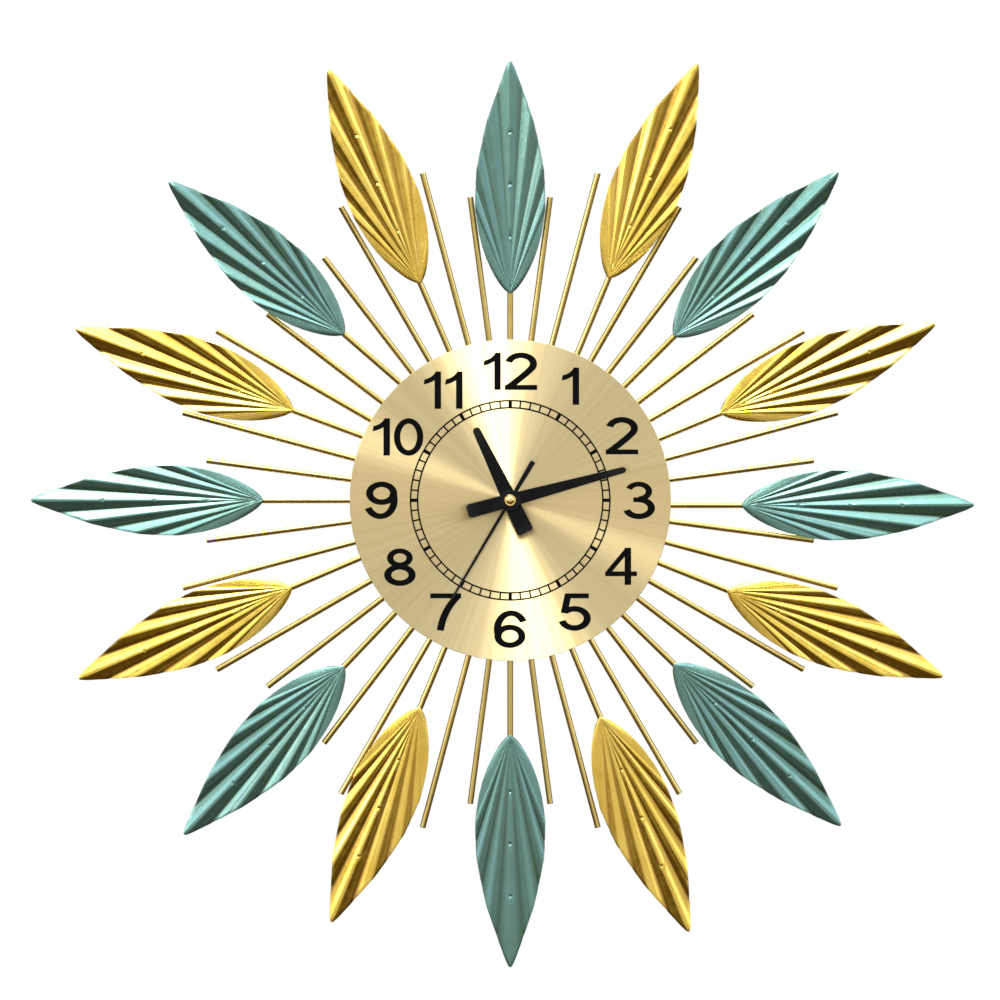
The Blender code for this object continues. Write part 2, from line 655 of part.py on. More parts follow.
def add_front_case():
    """The moulded case with its threaded post, the battery bay below and the train above."""
    open_back = -CASE_WALL
    inner_corner = CASE_CORNER - CASE_WALL
    inside = case_half_width - CASE_WALL
    low = (-case_half_width, case_bottom, cover_front)
    case = block("movement_front_case", low, (case_half_width, case_top, case_front), CASE_CORNER)
    low = (-inside, divider_top, open_back)
    train_bay = block("train_bay", low, (inside, train_top, case_ceiling), inner_corner)
    low = (-inside, bay_bottom, open_back)
    battery_bay = block("battery_bay", low, (inside, divider_bottom, case_ceiling), inner_corner)
    combine(case, "DIFFERENCE", train_bay, battery_bay)
    root = case_ceiling + CASE_WALL / 2
    post = shaft("post", post_radius, root, post_front)
    stud = shaft("stud", STUD_RADIUS, motion_level - PINION_OVERLAP, root, SMALL_SIDES)
    stud.location = (*motion_axis, 0.0)
    combine(case, "UNION", post, stud)
    combine(case, "DIFFERENCE", shaft("bore", post_bore, open_back, post_front + CASE_WALL))
    finish(case, BLACK_PLASTIC)


def add_back_cover():
    """The flat cover of the train, which lies on the wall, with a well for the setting knob."""
    low = (-case_half_width, divider_top, 0.0)
    cover = block("movement_back_cover", low, (case_half_width, case_top, COVER_THICKNESS), CASE_CORNER)
    well = shaft("well", KNOB_RADIUS + KNOB_CLEARANCE, -COVER_THICKNESS, 2 * COVER_THICKNESS)
    well.location = (*knob_axis, 0.0)
    finish(combine(cover, "DIFFERENCE", well), BLACK_PLASTIC)


def add_train_plate():
    """The thin plate in the middle of the train that the arbors' front pivots turn in."""
    pivot_hole = ARBOR_RADIUS + GAP
    bottom = divider_top + DIVIDER_THICKNESS
    top = COIL_HEIGHT - COIL_RADIUS - GAP
    side = TRAIN_PLATE_HALF_WIDTH
    holes = [
        circle(SECOND_PIN_RADIUS + GAP, SMALL_SIDES),
        circle(pivot_hole, SMALL_SIDES, third_axis),
        circle(pivot_hole, SMALL_SIDES, fifth_axis),
        circle(pivot_hole, SMALL_SIDES, rotor_axis),
        circle(KNOB_SHAFT_RADIUS + GAP, SMALL_SIDES, knob_axis),
    ]
    outline = [(-side, bottom), (side, bottom), (side, top), (-side, top)]
    front = train_plate_back + TRAIN_PLATE_THICKNESS
    finish(sheet("train_plate", [outline, *holes], train_plate_back, front), WHITE_PLASTIC)


# ---------------------------------------------------------------- gear train


def toothed(name, teeth, module, back, front, phase, bore=0.0):
    """A gear about z with a tooth at the angle phase, in degrees clockwise from 12."""
    pitch_radius = module * teeth / 2
    root = pitch_radius - DEDENDUM * module
    tip = pitch_radius + ADDENDUM * module
    pitch = 360 / teeth
    outline = []
    for tooth in range(teeth):
        middle = phase + pitch * tooth
        outline.append(along(middle - TOOTH_AT_ROOT * pitch / 2, root))
        outline.append(along(middle - TOOTH_AT_TIP * pitch / 2, tip))
        outline.append(along(middle + TOOTH_AT_TIP * pitch / 2, tip))
        outline.append(along(middle + TOOTH_AT_ROOT * pitch / 2, root))
    loops = [outline]
    if bore:
        loops.append(circle(bore, SMALL_SIDES))
    return sheet(name, loops, back, front)


def wheel(teeth, module, level, phase, bore=0.0):
    return toothed("wheel", teeth, module, level, level + WHEEL_THICKNESS, phase, bore)


def pinion(teeth, module, level, phase, bore=0.0):
    back = level - PINION_OVERLAP
    return toothed("pinion", teeth, module, back, level + WHEEL_THICKNESS + PINION_OVERLAP, phase, bore)


def facing(direction, teeth):
    """The phase of a gear that has a gap where its neighbour, met in this direction, has a tooth."""
    return direction + 180 + 180 / teeth


def add_second_and_third():
    """The second hand's arbor, which runs through the tubes to the hand, and the third wheel."""
    second = shaft("second_wheel", SECOND_PIN_RADIUS, arbor_back, second_front, SMALL_SIDES)
    gears = (
        wheel(SECOND_WHEEL, FIFTH_MODULE, second_level, FIFTH_DIRECTION),
        pinion(SECOND_PINION, second_module, third_level, THIRD_DIRECTION),
    )
    finish(combine(second, "UNION", *gears), BRASS)

    third_front = centre_level + WHEEL_THICKNESS + GAP
    third = shaft("third_wheel", ARBOR_RADIUS, arbor_back, third_front, SMALL_SIDES)
    gears = (
        wheel(THIRD_WHEEL, second_module, third_level, facing(THIRD_DIRECTION, THIRD_WHEEL)),
        pinion(THIRD_PINION, THIRD_MODULE, centre_level, THIRD_DIRECTION + 180),
    )
    finish(combine(third, "UNION", *gears), WHITE_PLASTIC).location = (*third_axis, 0.0)


def add_fifth_and_rotor():
    fifth = shaft("fifth_wheel", ARBOR_RADIUS, arbor_back, pivot_front, SMALL_SIDES)
    gears = (
        wheel(FIFTH_WHEEL, ROTOR_MODULE, fifth_level, ROTOR_DIRECTION),
        pinion(FIFTH_PINION, FIFTH_MODULE, second_level, facing(FIFTH_DIRECTION, FIFTH_PINION)),
    )
    finish(combine(fifth, "UNION", *gears), WHITE_PLASTIC).location = (*fifth_axis, 0.0)

    rotor = shaft("rotor", ARBOR_RADIUS, arbor_back, pivot_front, SMALL_SIDES)
    gear = pinion(ROTOR_PINION, ROTOR_MODULE, fifth_level, facing(ROTOR_DIRECTION, ROTOR_PINION))
    magnet = shaft("magnet", MAGNET_RADIUS, magnet_back, magnet_back + MAGNET_LENGTH)
    finish(combine(rotor, "UNION", gear, magnet), STEEL).location = (*rotor_axis, 0.0)


def add_motion_work():
    """The centre wheel with the minute tube, the motion wheel, the hour wheel and the setting knob."""
    centre = tube("centre_wheel", minute_tube, minute_bore, centre_level, minute_front, SMALL_SIDES)
    in_wall = (minute_bore + minute_tube) / 2
    phase = facing(THIRD_DIRECTION + 180, CENTRE_WHEEL)
    gears = (
        wheel(CENTRE_WHEEL, THIRD_MODULE, centre_level, phase, in_wall),
        pinion(CANNON_PINION, motion_module, motion_level, MOTION_DIRECTION, in_wall),
    )
    finish(combine(centre, "UNION", *gears), BRASS)

    front = hour_level + WHEEL_THICKNESS
    motion = toothed("motion_wheel", MOTION_PINION, hour_module, motion_level, front, MOTION_DIRECTION + 180)
    phase = facing(MOTION_DIRECTION, MOTION_WHEEL)
    gear = wheel(MOTION_WHEEL, motion_module, motion_level - GAP / 2, phase)
    combine(motion, "UNION", gear)
    combine(motion, "DIFFERENCE", shaft("bore", STUD_RADIUS + GAP, arbor_back, case_front, SMALL_SIDES))
    finish(motion, WHITE_PLASTIC).location = (*motion_axis, 0.0)

    hour = tube("hour_wheel", hour_tube, hour_bore, hour_level, hour_front)
    in_wall = (hour_bore + hour_tube) / 2
    gear = wheel(HOUR_WHEEL, hour_module, hour_level, facing(MOTION_DIRECTION + 180, HOUR_WHEEL), in_wall)
    finish(combine(hour, "UNION", gear), WHITE_PLASTIC)

    knob_front = motion_level + WHEEL_THICKNESS + PINION_OVERLAP + GAP
    head_front = KNOB_BACK + KNOB_THICKNESS
    head_module = 2 * KNOB_RADIUS / (KNOB_TEETH + 2 * ADDENDUM)
    knob = shaft("setting_knob", KNOB_SHAFT_RADIUS, head_front - GAP, knob_front, SMALL_SIDES)
    head = toothed("head", KNOB_TEETH, head_module, KNOB_BACK, head_front, 0.0)
    gear = pinion(CANNON_PINION, motion_module, motion_level, MOTION_DIRECTION + 180)
    finish(combine(knob, "UNION", head, gear), WHITE_PLASTIC).location = (*knob_axis, 0.0)


# ---------------------------------------------------------------- electrical pieces


def add_battery():
    """An AA cell that lies across the foot of the movement, its nub to the right."""
    half = BATTERY_LENGTH / 2
    shoulder = half - BATTERY_NUB_LENGTH
    profile = (
        (0.0, half),
        (BATTERY_NUB_RADIUS, half),
        (BATTERY_NUB_RADIUS, shoulder),
        (BATTERY_RADIUS, shoulder),
        (BATTERY_RADIUS, -half),
        (0.0, -half),
    )
    battery = turned("battery", profile)
    battery.rotation_euler.y = math.radians(90)
    battery.location = (0.0, battery_height, battery_level)
    finish(battery, BATTERY_WRAP)


def add_contacts():
    """Two sprung strips at the ends of the bay, each with a dome that meets the cell."""
    low = (contact_face, battery_height - CONTACT_WIDTH / 2, battery_level - CONTACT_WIDTH / 2)
    high = (contact_face + CONTACT_THICKNESS, battery_height + CONTACT_WIDTH / 2, case_ceiling - GAP)
    inside = -CONTACT_THICKNESS / 2
    cone = (
        (0.0, CONTACT_DOME),
        (CONTACT_DOME_RADIUS / 2, CONTACT_DOME),
        (CONTACT_DOME_RADIUS, 0.0),
        (CONTACT_DOME_RADIUS, inside),
        (0.0, inside),
    )
    for name, half_turn in (("contact_positive", False), ("contact_negative", True)):
        strip = block(name, low, high)
        dome = turned("dome", cone, SMALL_SIDES)
        dome.rotation_euler.y = math.radians(-90)
        dome.location = (contact_face, battery_height, battery_level)
        combine(strip, "UNION", dome)
        if half_turn:
            strip.rotation_euler.z = math.radians(180)
            strip.location.y = 2 * battery_height
        finish(strip, STEEL)


def add_circuit_board():
    """The board, with a round chip cover and the quartz crystal's can on it."""
    board_top = train_top - CASE_WALL
    board_bottom = board_top - BOARD_HEIGHT
    front = board_back + BOARD_THICKNESS
    board = block("circuit_board", (BOARD_LEFT, board_bottom, board_back), (BOARD_RIGHT, board_top, front))
    middle = (BOARD_LEFT + BOARD_RIGHT) / 2
    chip = shaft("chip", CHIP_RADIUS, front - GAP, front + CRYSTAL_RADIUS / 2)
    chip.location = (middle, board_bottom + 2 * CHIP_RADIUS, 0.0)
    half = CRYSTAL_LENGTH / 2
    level = front + CRYSTAL_RADIUS / 2
    crystal = wire("crystal", CRYSTAL_RADIUS, middle - half, middle + half, level, SMALL_SIDES)
    crystal.location.y = board_top - 3 * CRYSTAL_RADIUS
    finish(combine(board, "UNION", chip, crystal), GREEN_BOARD)


def add_coil_and_stator():
    half = (COIL_RIGHT - COIL_LEFT) / 2
    profile = (
        (0.0, half),
        (COIL_RADIUS, half),
        (COIL_RADIUS, half - COIL_FLANGE),
        (WINDING_RADIUS, half - COIL_FLANGE),
        (WINDING_RADIUS, COIL_FLANGE - half),
        (COIL_RADIUS, COIL_FLANGE - half),
        (COIL_RADIUS, -half),
        (0.0, -half),
    )
    coil = turned("coil_bobbin", profile)
    coil.rotation_euler.y = math.radians(90)
    coil.location = ((COIL_LEFT + COIL_RIGHT) / 2, COIL_HEIGHT, stator_back + STATOR_THICKNESS / 2)
    finish(coil, COPPER)

    top = COIL_HEIGHT + COIL_RADIUS
    left_arm = COIL_LEFT - COIL_SIDE_GAP
    right_arm = COIL_RIGHT + COIL_SIDE_GAP
    outline = [
        (left_arm - STATOR_ARM_WIDTH, STATOR_BOTTOM),
        (right_arm + STATOR_ARM_WIDTH, STATOR_BOTTOM),
        (right_arm + STATOR_ARM_WIDTH, top),
        (right_arm, top),
        (right_arm, STATOR_YOKE_TOP),
        (left_arm, STATOR_YOKE_TOP),
        (left_arm, top),
        (left_arm - STATOR_ARM_WIDTH, top),
    ]
    rotor_hole = circle(MAGNET_RADIUS + 2 * GAP, ROUND_SIDES, rotor_axis)
    stator = sheet("stator_plate", [outline, rotor_hole], stator_back, stator_back + STATOR_THICKNESS)
    finish(stator, STEEL)


add_ray_plate()
for leaf_index in range(LEAF_COUNT):
    add_leaf(leaf_index)
add_dial()
add_hands()
add_hanger()
add_bumpers()
add_front_case()
add_back_cover()
add_train_plate()
add_second_and_third()
add_fifth_and_rotor()
add_motion_work()
add_battery()
add_contacts()
add_circuit_board()
add_coil_and_stator()
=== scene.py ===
"""Looks of the sunburst wall clock: fine pressed leaves, round wires, printed dial, rounded hands and
finished movement pieces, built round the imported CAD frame. Metres, +Z up, the dial faces -Y."""

import math
import random

import bmesh
import bpy
from mathutils import Matrix, Vector


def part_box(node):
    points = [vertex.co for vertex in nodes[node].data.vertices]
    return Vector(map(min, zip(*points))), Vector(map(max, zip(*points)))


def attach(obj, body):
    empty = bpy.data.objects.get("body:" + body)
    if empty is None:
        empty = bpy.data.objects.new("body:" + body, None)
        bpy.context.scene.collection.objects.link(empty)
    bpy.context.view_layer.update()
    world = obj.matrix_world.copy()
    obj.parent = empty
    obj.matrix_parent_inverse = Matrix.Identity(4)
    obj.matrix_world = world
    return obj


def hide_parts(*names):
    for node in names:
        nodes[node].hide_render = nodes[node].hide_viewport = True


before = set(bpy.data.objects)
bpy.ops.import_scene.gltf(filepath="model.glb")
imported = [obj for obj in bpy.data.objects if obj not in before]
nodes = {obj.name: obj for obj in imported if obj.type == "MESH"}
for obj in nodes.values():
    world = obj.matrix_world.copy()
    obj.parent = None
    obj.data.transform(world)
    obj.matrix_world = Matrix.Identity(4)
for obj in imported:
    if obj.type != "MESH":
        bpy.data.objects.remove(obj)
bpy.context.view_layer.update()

bpy.context.scene.view_settings.view_transform = "Standard"

# ------------------------ sizes, in metres and degrees

LEAF_COUNT = 16
ROD_PITCH = 7.5

# The leaf's outline, a little narrower than the CAD's, and its folds as the CAD has them
LEAF_WIDTH = 0.0525
LEAF_GAUGE = 0.0008
LEAF_SHOULDER = 0.79
LEAF_TAPER = 1.27
LEAF_BLUNTNESS = 0.20           # how much of the outline is rounded towards the tip
TIP_RADIUS = 0.0013
LEAF_FAN_ANGLE = 55.0
PLEAT_ANGLE = 7.0
PLEAT_COUNT = 3
PLEAT_RISE = 0.022
MIDRIB_START = 0.018
FOLD_SPREAD = 0.0013
FOLD_HALVINGS = 40

# What the finer leaf adds
LEAF_ROWS = 24                  # along each fold
PLEAT_COLUMNS = 18              # across one pleat
MARGIN_COLUMNS = 9              # across the plain margin outside the last pleat
FOLD_CRISPNESS = 0.965          # 1 is a knife-edged fold, 0 a sine wave
BASE_REACH = 0.0005             # the CAD leaf's base corners lie within this distance of its base
MARGIN_DROOP = 0.0020           # how far the plain margin's edge bends back
DROOP_POWER = 1.3
PLEAT_FADE = 0.36               # where the last ridge has died away, in pleats past it
RIPPLE = 0.09                   # height of the fine beads pressed along a pleat's sides, in pleat depths
RIPPLES = 3                     # and their number from one ridge to the next
PLEAT_UNEVENNESS = 0.10         # how much one pleat's depth differs from the next
RIM_SCALLOP = 0.0007            # how far a valley's end lies inside a ridge's
SCALLOP_POWER = 8
RIM_ROUNDING = 0.00022
RIM_LEAST = 50                  # the least angle of an edge that is rounded, in degrees
WELD_PLACES = (0.0045, 0.042, 0.081, 0.120)
WELD_RADIUS = 0.0016
WELD_DEPTH = 0.00045
WELD_COLLAR = 0.00016
COLLAR_WIDTH = 0.6              # in weld radii
WELD_RINGS = (-0.0024, -0.0017, -0.0011, -0.0005, 0.0, 0.0005, 0.0011, 0.0017, 0.0024)
WELD_ANGLES = (0.2, 0.45, 0.7, 1.1)
WELD_CLEAR = 0.3                # the next column stands this far outside them

# Wires and plate
CAD_WIRE_SIDES = 8
STEM_UNDER_LEAF = 0.128         # how far a stem runs behind its leaf
PAD_RADIUS = 0.0015
WIRE_SIDES = 24
WIRE_ROUNDING = 0.0004
PLATE_THICKNESS = 0.002
PLATE_ROUNDING = 0.0004
BEAD_RADIUS = 0.0011
BEAD_SHAPE = (1.5, 0.8, 0.7)    # along the rod, across it and away from the plate
BEAD_SPREAD = 0.75              # how far beside a rod's axis its weld beads sit, in rod radii
ROD_CORRIDOR = 0.0028           # a rod's corners lie within this distance of its axis
DIAL_SIDES = 192
DIAL_ROUNDING = 0.0003

# Print on the dial
INK_THICKNESS = 0.00012
INK_SUNK = 0.00002              # how deep the ink's back lies in the dial, so that nothing shows between
ARC_STEP = 6.0
BEND_STEPS = 12
NUMERAL_HEIGHT = 0.0278
NUMERAL_RADIUS = 0.0964
NUMERAL_GAP = 0.0030
NUMERAL_SWINGS = {1: -2.2, 4: 0.8, 8: -1.2, 10: -0.6, 11: -1.4}
STROKE = 0.148                  # stroke of a numeral, in numeral heights
WIDENING = 1.30                 # how much wider the digits are drawn than their outlines are given
NARROWER = {"0": 1.14, "1": 1.16, "4": 1.20}
THIN_STROKE = 0.132
TRACK_RADII = (0.0692, 0.0745)
TRACK_LINE = 0.00115
MINUTE_TICK = 0.0012
HOUR_TICK = 0.0026

# Hands, cap, feet and cell
HAND_HUB_REACH = 0.012
HAND_EDGE = 0.00015
HAND_EDGE_LEAST = 50.0
HAND_CORNER, SECOND_HAND_CORNER = 0.0004, 0.0002
CORNER_LEAST = 15               # the least angle of a corner of the outline that is rounded
CAP_RIM = 0.0008
CAP_DOME_RADIUS = 0.003
CAP_STEPS = 8
TURNED_SIDES = 48
BUMPER_ROUNDING = 0.0006
NUB_RADIUS, NUB_LENGTH, NUB_ROUNDING = 0.00275, 0.001, 0.0003
CAN_ROUNDING = 0.0004
CAN_SIDES = 64
WRAP_BAND = (0.0118, 0.0122)    # where the wrap's copper-coloured band begins, from the cell's middle
WRAP_NUB = (0.0238, 0.0240)     # and where the bare nub does
MOULD_ROUNDING = 0.0002
HANGER_ROUNDING = 0.0003
NUT_ROUNDING = 0.00025
GASKET_ROUNDING = 0.00015
KNOB_ROUNDING = 0.00008
EDGE_LEAST = 35.0               # the least angle of an edge that is rounded, in degrees
GASKET_EDGE_LEAST = 60.0
SPLIT_GAP = 1e-6                # corners closer than this are one corner
SMOOTH_ANGLE = 35               # sharper edges than this are drawn as edges

# Stage
FLOOR_LEVEL = -0.75
FLOOR_HALF = 2.4
SENSOR = 36.0
CAMERA_DISTANCE = 6.0
FRAME_WIDTH = 0.75
FRAME_CENTRE = (-0.00765, 0.0002)
GROUND_GLOW = (0.11, 0.070, 0.022)
SKY_STOPS = (
    (-0.28, GROUND_GLOW),
    (-0.08, (0.55, 0.47, 0.36)),
    (0.0, (1.10, 1.10, 1.12)),
    (0.22, (0.95, 1.00, 1.10)),
    (0.42, (0.62, 0.68, 0.78)),
    (1.0, (0.60, 0.65, 0.72)),
)
PANEL_GLOW = (3.00, 3.25, 3.90)  # the soft boxes overhead
PANEL_HEIGHT = (0.46, 0.56)     # where they begin, by a direction's share along +Z
PANEL_WIDTH = (0.30, 0.44)      # and where they end, by its share along X
RIM_DEPTH = (-0.78, -0.68)      # the bright rim round the room: by its share along +Y
RIM_HEIGHT = (0.10, 0.30)       # and by its share along +Z
RIM_SHARE = 0.75
PALE_GLOW = (0.92, 0.90, 0.88)   # the studio round the view axis, ahead and behind
FRONT_SPAN = (-0.985, -0.90)    # where that glow fades, by a direction's share along +Y
REAR_SPAN = (0.62, 0.86)
SIDE_SPAN = (-0.25, 0.25)       # where the studio in front gives way to the dark beside the clock
SIDE_SHARE = 0.07
LIGHT_DISTANCE = 3.0
LIGHTS = (                      # name, azimuth, elevation, width and height, power
    ("key_panel", -9.0, 45.0, (0.80, 2.4), 75.0),
    ("left_panel", -67.0, 48.0, (0.35, 1.8), 12.0),
    ("rear_panel", 0.0, 140.0, (2.4, 1.6), 90.0),
)

FACE = Matrix.Rotation(math.radians(90), 4, "X")  # from the clock's face frame to the world


# ------------------------ making pieces


def along(direction, distance, start=(0.0, 0.0)):
    """The point at this distance from start, in a direction in degrees clockwise from 12."""
    angle = math.radians(direction)
    return start[0] + distance * math.sin(angle), start[1] + distance * math.cos(angle)


def face_points(node):
    """The node's corners in the clock's face frame: x to the right, y up, z out of the wall."""
    corners = {(round(v.co.x, 6), round(v.co.z, 6), round(-v.co.y, 6)) for v in nodes[node].data.vertices}
    return [Vector(corner) for corner in sorted(corners)]


def levels(node):
    """How far the node's back and front are from the wall."""
    low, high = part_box(node)
    return -high.y, -low.y


def direction_of(point):
    return math.degrees(math.atan2(point[0], point[1]))


def to_object(name, shape):
    """Turns the shape into an object in the scene."""
    mesh = bpy.data.meshes.new(name)
    shape.to_mesh(mesh)
    shape.free()
    obj = bpy.data.objects.new(name, mesh)
    bpy.context.scene.collection.objects.link(obj)
    return obj


def add_piece(name, shape, material, body, replaced=(), flats=True):
    """Makes a mesh, given in the face frame, into a piece of the clock."""
    obj = to_object(name, shape)
    mesh = obj.data
    mesh.transform(FACE)
    mesh.materials.append(material)
    mesh.shade_smooth()
    mesh.set_sharp_from_angle(angle=math.radians(SMOOTH_ANGLE))
    if flats:
        normals = obj.modifiers.new("flat_faces", "WEIGHTED_NORMAL")
        normals.keep_sharp = True
    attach(obj, body)
    if replaced:
        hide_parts(*replaced)
    return obj


def move(shape, matrix):
    bmesh.ops.transform(shape, matrix=matrix, verts=shape.verts)


def merged(shape):
    bmesh.ops.remove_doubles(shape, verts=shape.verts, dist=SPLIT_GAP)
    return shape


def bevel_edges(shape, edges, width, segments):
    options = {"affect": "EDGES", "profile": 0.5, "clamp_overlap": True}
    bmesh.ops.bevel(shape, geom=edges, offset=width, segments=segments, **options)


def round_edges(shape, width, segments=2, least=EDGE_LEAST):
    """Rounds every edge of a closed shape that is sharper than this many degrees."""
    shape.normal_update()
    sharp = [e for e in shape.edges if e.calc_face_angle(0.0) > math.radians(least)]
    bevel_edges(shape, sharp, width, segments)
    return shape


def cad_shape(node):
    """A copy of a CAD node's mesh in the face frame, with its split corners joined again."""
    shape = bmesh.new()
    shape.from_mesh(nodes[node].data)
    move(shape, FACE.inverted())
    merged(shape)
    bmesh.ops.dissolve_limit(shape, angle_limit=math.radians(1), verts=shape.verts, edges=shape.edges)
    return shape


def add_rounded(node, material, body, width, segments=2, least=EDGE_LEAST):
    """The CAD node again, with its edges rounded."""
    shape = round_edges(cad_shape(node), width, segments, least)
    return add_piece(node + "_finished", shape, material, body, (node,))


def lathe(profile, sides):
    """A turned shape about z from (radius, level) points; points on the axis close it."""
    shape = bmesh.new()
    rings = []
    for radius, level in profile:
        if radius:
            ring = [shape.verts.new((*along(360 * i / sides, radius), level)) for i in range(sides)]
        else:
            ring = [shape.verts.new((0.0, 0.0, level))] * sides
        rings.append(ring)
    closed = profile[0][0] and profile[-1][0]
    pairs = list(zip(rings, rings[1:] + rings[:1])) if closed else list(zip(rings, rings[1:]))
    for upper, lower in pairs:
        for i in range(sides):
            corners = [upper[i - 1], upper[i], lower[i], lower[i - 1]]
            unique = list(dict.fromkeys(corners))
            if len(unique) > 2:
                shape.faces.new(unique)
    bmesh.ops.recalc_face_normals(shape, faces=shape.faces)
    return shape


def rounded_profile(outer, inner, back, front, rounding, steps=3):
    """The profile of a flat ring or disc, with its outer and inner edges rounded."""
    turn = [90 * i / steps for i in range(steps + 1)]
    corners = [(0, outer - rounding, front - rounding), (90, outer - rounding, back + rounding)]
    if inner:
        corners += [(180, inner + rounding, back + rounding), (270, inner + rounding, front - rounding)]
    profile = [along(start + angle, rounding, (x, y)) for start, x, y in corners for angle in turn]
    return profile if inner else [(0.0, front)] + profile + [(0.0, back)]


def join(shape, other, matrix=None):
    """Adds another shape, moved by the matrix, to the shape."""
    if matrix is not None:
        move(other, matrix)
    mesh = bpy.data.meshes.new("joined")
    other.to_mesh(mesh)
    other.free()
    shape.from_mesh(mesh)
    bpy.data.meshes.remove(mesh)
    return shape


def spoke(direction, place=(0.0, 0.0), level=0.0):
    """Turns a shape made along x to this direction and puts its origin at the place."""
    turn = Matrix.Rotation(math.radians(90 - direction), 4, "Z")
    return Matrix.Translation((*place, level)) @ turn


# ------------------------ finishes


def add_node(tree, kind, inputs=None, **settings):
    """A node with these settings, each input given its value or linked to a socket."""
    new = tree.nodes.new(kind)
    for name, value in settings.items():
        setattr(new, name, value)
    for name, value in (inputs or {}).items():
        if isinstance(value, bpy.types.NodeSocket):
            tree.links.new(value, new.inputs[name])
        else:
            new.inputs[name].default_value = value
    return new


class Finish:
    """A Principled material and what feeds it, in the piece's own coordinates."""

    def __init__(self, name, colour, metallic, roughness, **sockets):
        self.material = bpy.data.materials.new(name)
        self.material.use_nodes = True
        self.tree = self.material.node_tree
        self.shader = self.tree.nodes["Principled BSDF"]
        self.set("Base Color", (*colour, 1.0))
        self.set("Metallic", metallic)
        self.set("Roughness", roughness)
        for socket, value in sockets.items():
            self.set(socket.replace("_", " "), value)
        self.coordinates = self.node("ShaderNodeTexCoord").outputs["Object"]

    def set(self, socket, value):
        self.shader.inputs[socket].default_value = value

    def feed(self, socket, output):
        self.tree.links.new(output, self.shader.inputs[socket])

    def roughen(self, value, low, high):
        self.feed("Roughness", self.between(value, low, high))

    def paint(self, factor, first, second):
        self.feed("Base Color", self.blend(factor, first, second))

    def node(self, kind, inputs=None, **settings):
        return add_node(self.tree, kind, inputs, **settings)

    def layer(self, name):
        """A value that the mesh holds at each point."""
        return self.node("ShaderNodeAttribute", attribute_name=name).outputs["Fac"]

    def noise(self, scale, detail=3.0, stretch=(1.0, 1.0, 1.0), vector=None):
        source = vector or self.coordinates
        mapping = self.node("ShaderNodeMapping", {"Vector": source, "Scale": stretch})
        inputs = {"Vector": mapping.outputs["Vector"], "Scale": scale, "Detail": detail}
        return self.node("ShaderNodeTexNoise", inputs).outputs["Fac"]

    def between(self, value, low, high, start=0.3, end=0.7):
        """The value's range from start to end, mapped to the range from low to high."""
        inputs = {"Value": value, "From Min": start, "From Max": end, "To Min": low, "To Max": high}
        return self.node("ShaderNodeMapRange", inputs).outputs["Result"]

    def blend(self, factor, first, second):
        """A colour between the first and the second."""
        mix = self.node("ShaderNodeMix", data_type="RGBA")
        self.tree.links.new(factor, mix.inputs["Factor"])
        for socket, value in zip((mix.inputs[6], mix.inputs[7]), (first, second)):
            if isinstance(value, bpy.types.NodeSocket):
                self.tree.links.new(value, socket)
            else:
                socket.default_value = (*value, 1.0)
        return mix.outputs[2]

    def combine(self, operation, first, second):
        return self.node("ShaderNodeMath", {0: first, 1: second}, operation=operation).outputs[0]

    def bump(self, height, strength, distance):
        inputs = {"Height": height, "Strength": strength, "Distance": distance}
        self.feed("Normal", self.node("ShaderNodeBump", inputs).outputs["Normal"])

    def creases(self):
        """Fine draw marks of the press, which fan out along a leaf's folds."""
        angle = self.layer("crease")
        inputs = {"W": angle, "Scale": 0.9, "Detail": 4.0, "Roughness": 0.6}
        marks = self.node("ShaderNodeTexNoise", inputs, noise_dimensions="1D").outputs["Fac"]
        outward = self.layer("outward")
        uneven = self.combine("MULTIPLY", outward, self.between(self.noise(22.0), 0.4, 1.0))
        return self.combine("MULTIPLY", marks, uneven)

    def worn_edges(self, colour, worn, start=0.52, end=0.60):
        """The colour, turning to the worn one on the sharpest outer edges."""
        pointiness = self.node("ShaderNodeNewGeometry").outputs["Pointiness"]
        return self.blend(self.between(pointiness, 0.0, 1.0, start, end), colour, worn)


def gold_leaf_finish():
    """Antique gold foil on pressed metal: mottled, with painted shade darkening the valleys."""
    finish = Finish("gold_leaf", (0.80, 0.52, 0.08), 1.0, 0.22, Coat_Weight=0.8, Coat_Roughness=0.10)
    mottle = finish.noise(45.0, 5.0)
    fine = finish.noise(900.0, 4.0)
    colour = finish.blend(finish.between(mottle, 0.0, 1.0), (0.64, 0.415, 0.035), (0.75, 0.52, 0.080))
    # Painted shade: the valleys are darkened towards dark brown.
    valley = finish.layer("valley")
    valley_shade = finish.combine("MULTIPLY", valley, 0.75)
    finish.paint(valley_shade, colour, (0.33, 0.15, 0.010))
    finish.roughen(finish.noise(160.0), 0.17, 0.28)
    grain = finish.combine("MULTIPLY", fine, 0.05)
    finish.bump(finish.combine("ADD", finish.creases(), grain), 0.55, 0.0005)
    return finish.material


def teal_leaf_finish():
    """Teal metallic lacquer over pressed metal, mottled, with a clear coat."""
    finish = Finish("teal_leaf", (0.10, 0.21, 0.17), 0.90, 0.23, Coat_Weight=0.5, Coat_Roughness=0.12)
    mottle = finish.noise(28.0, 4.0)
    colour = finish.blend(finish.between(mottle, 0.0, 1.0), (0.098, 0.205, 0.152), (0.115, 0.235, 0.200))
    flakes = finish.noise(2600.0, 2.0)
    colour = finish.blend(finish.between(flakes, 0.0, 0.35, 0.45, 0.75), colour, (0.14, 0.28, 0.24))
    # Painted shade: the valleys are darkened towards dark olive.
    valley = finish.layer("valley")
    valley_shade = finish.combine("MULTIPLY", valley, 0.65)
    finish.paint(valley_shade, colour, (0.045, 0.088, 0.046))
    finish.roughen(finish.noise(120.0), 0.24, 0.34)
    fine = finish.combine("MULTIPLY", finish.noise(1400.0, 3.0), 0.1)
    finish.bump(finish.combine("ADD", finish.creases(), fine), 0.45, 0.0005)
    return finish.material


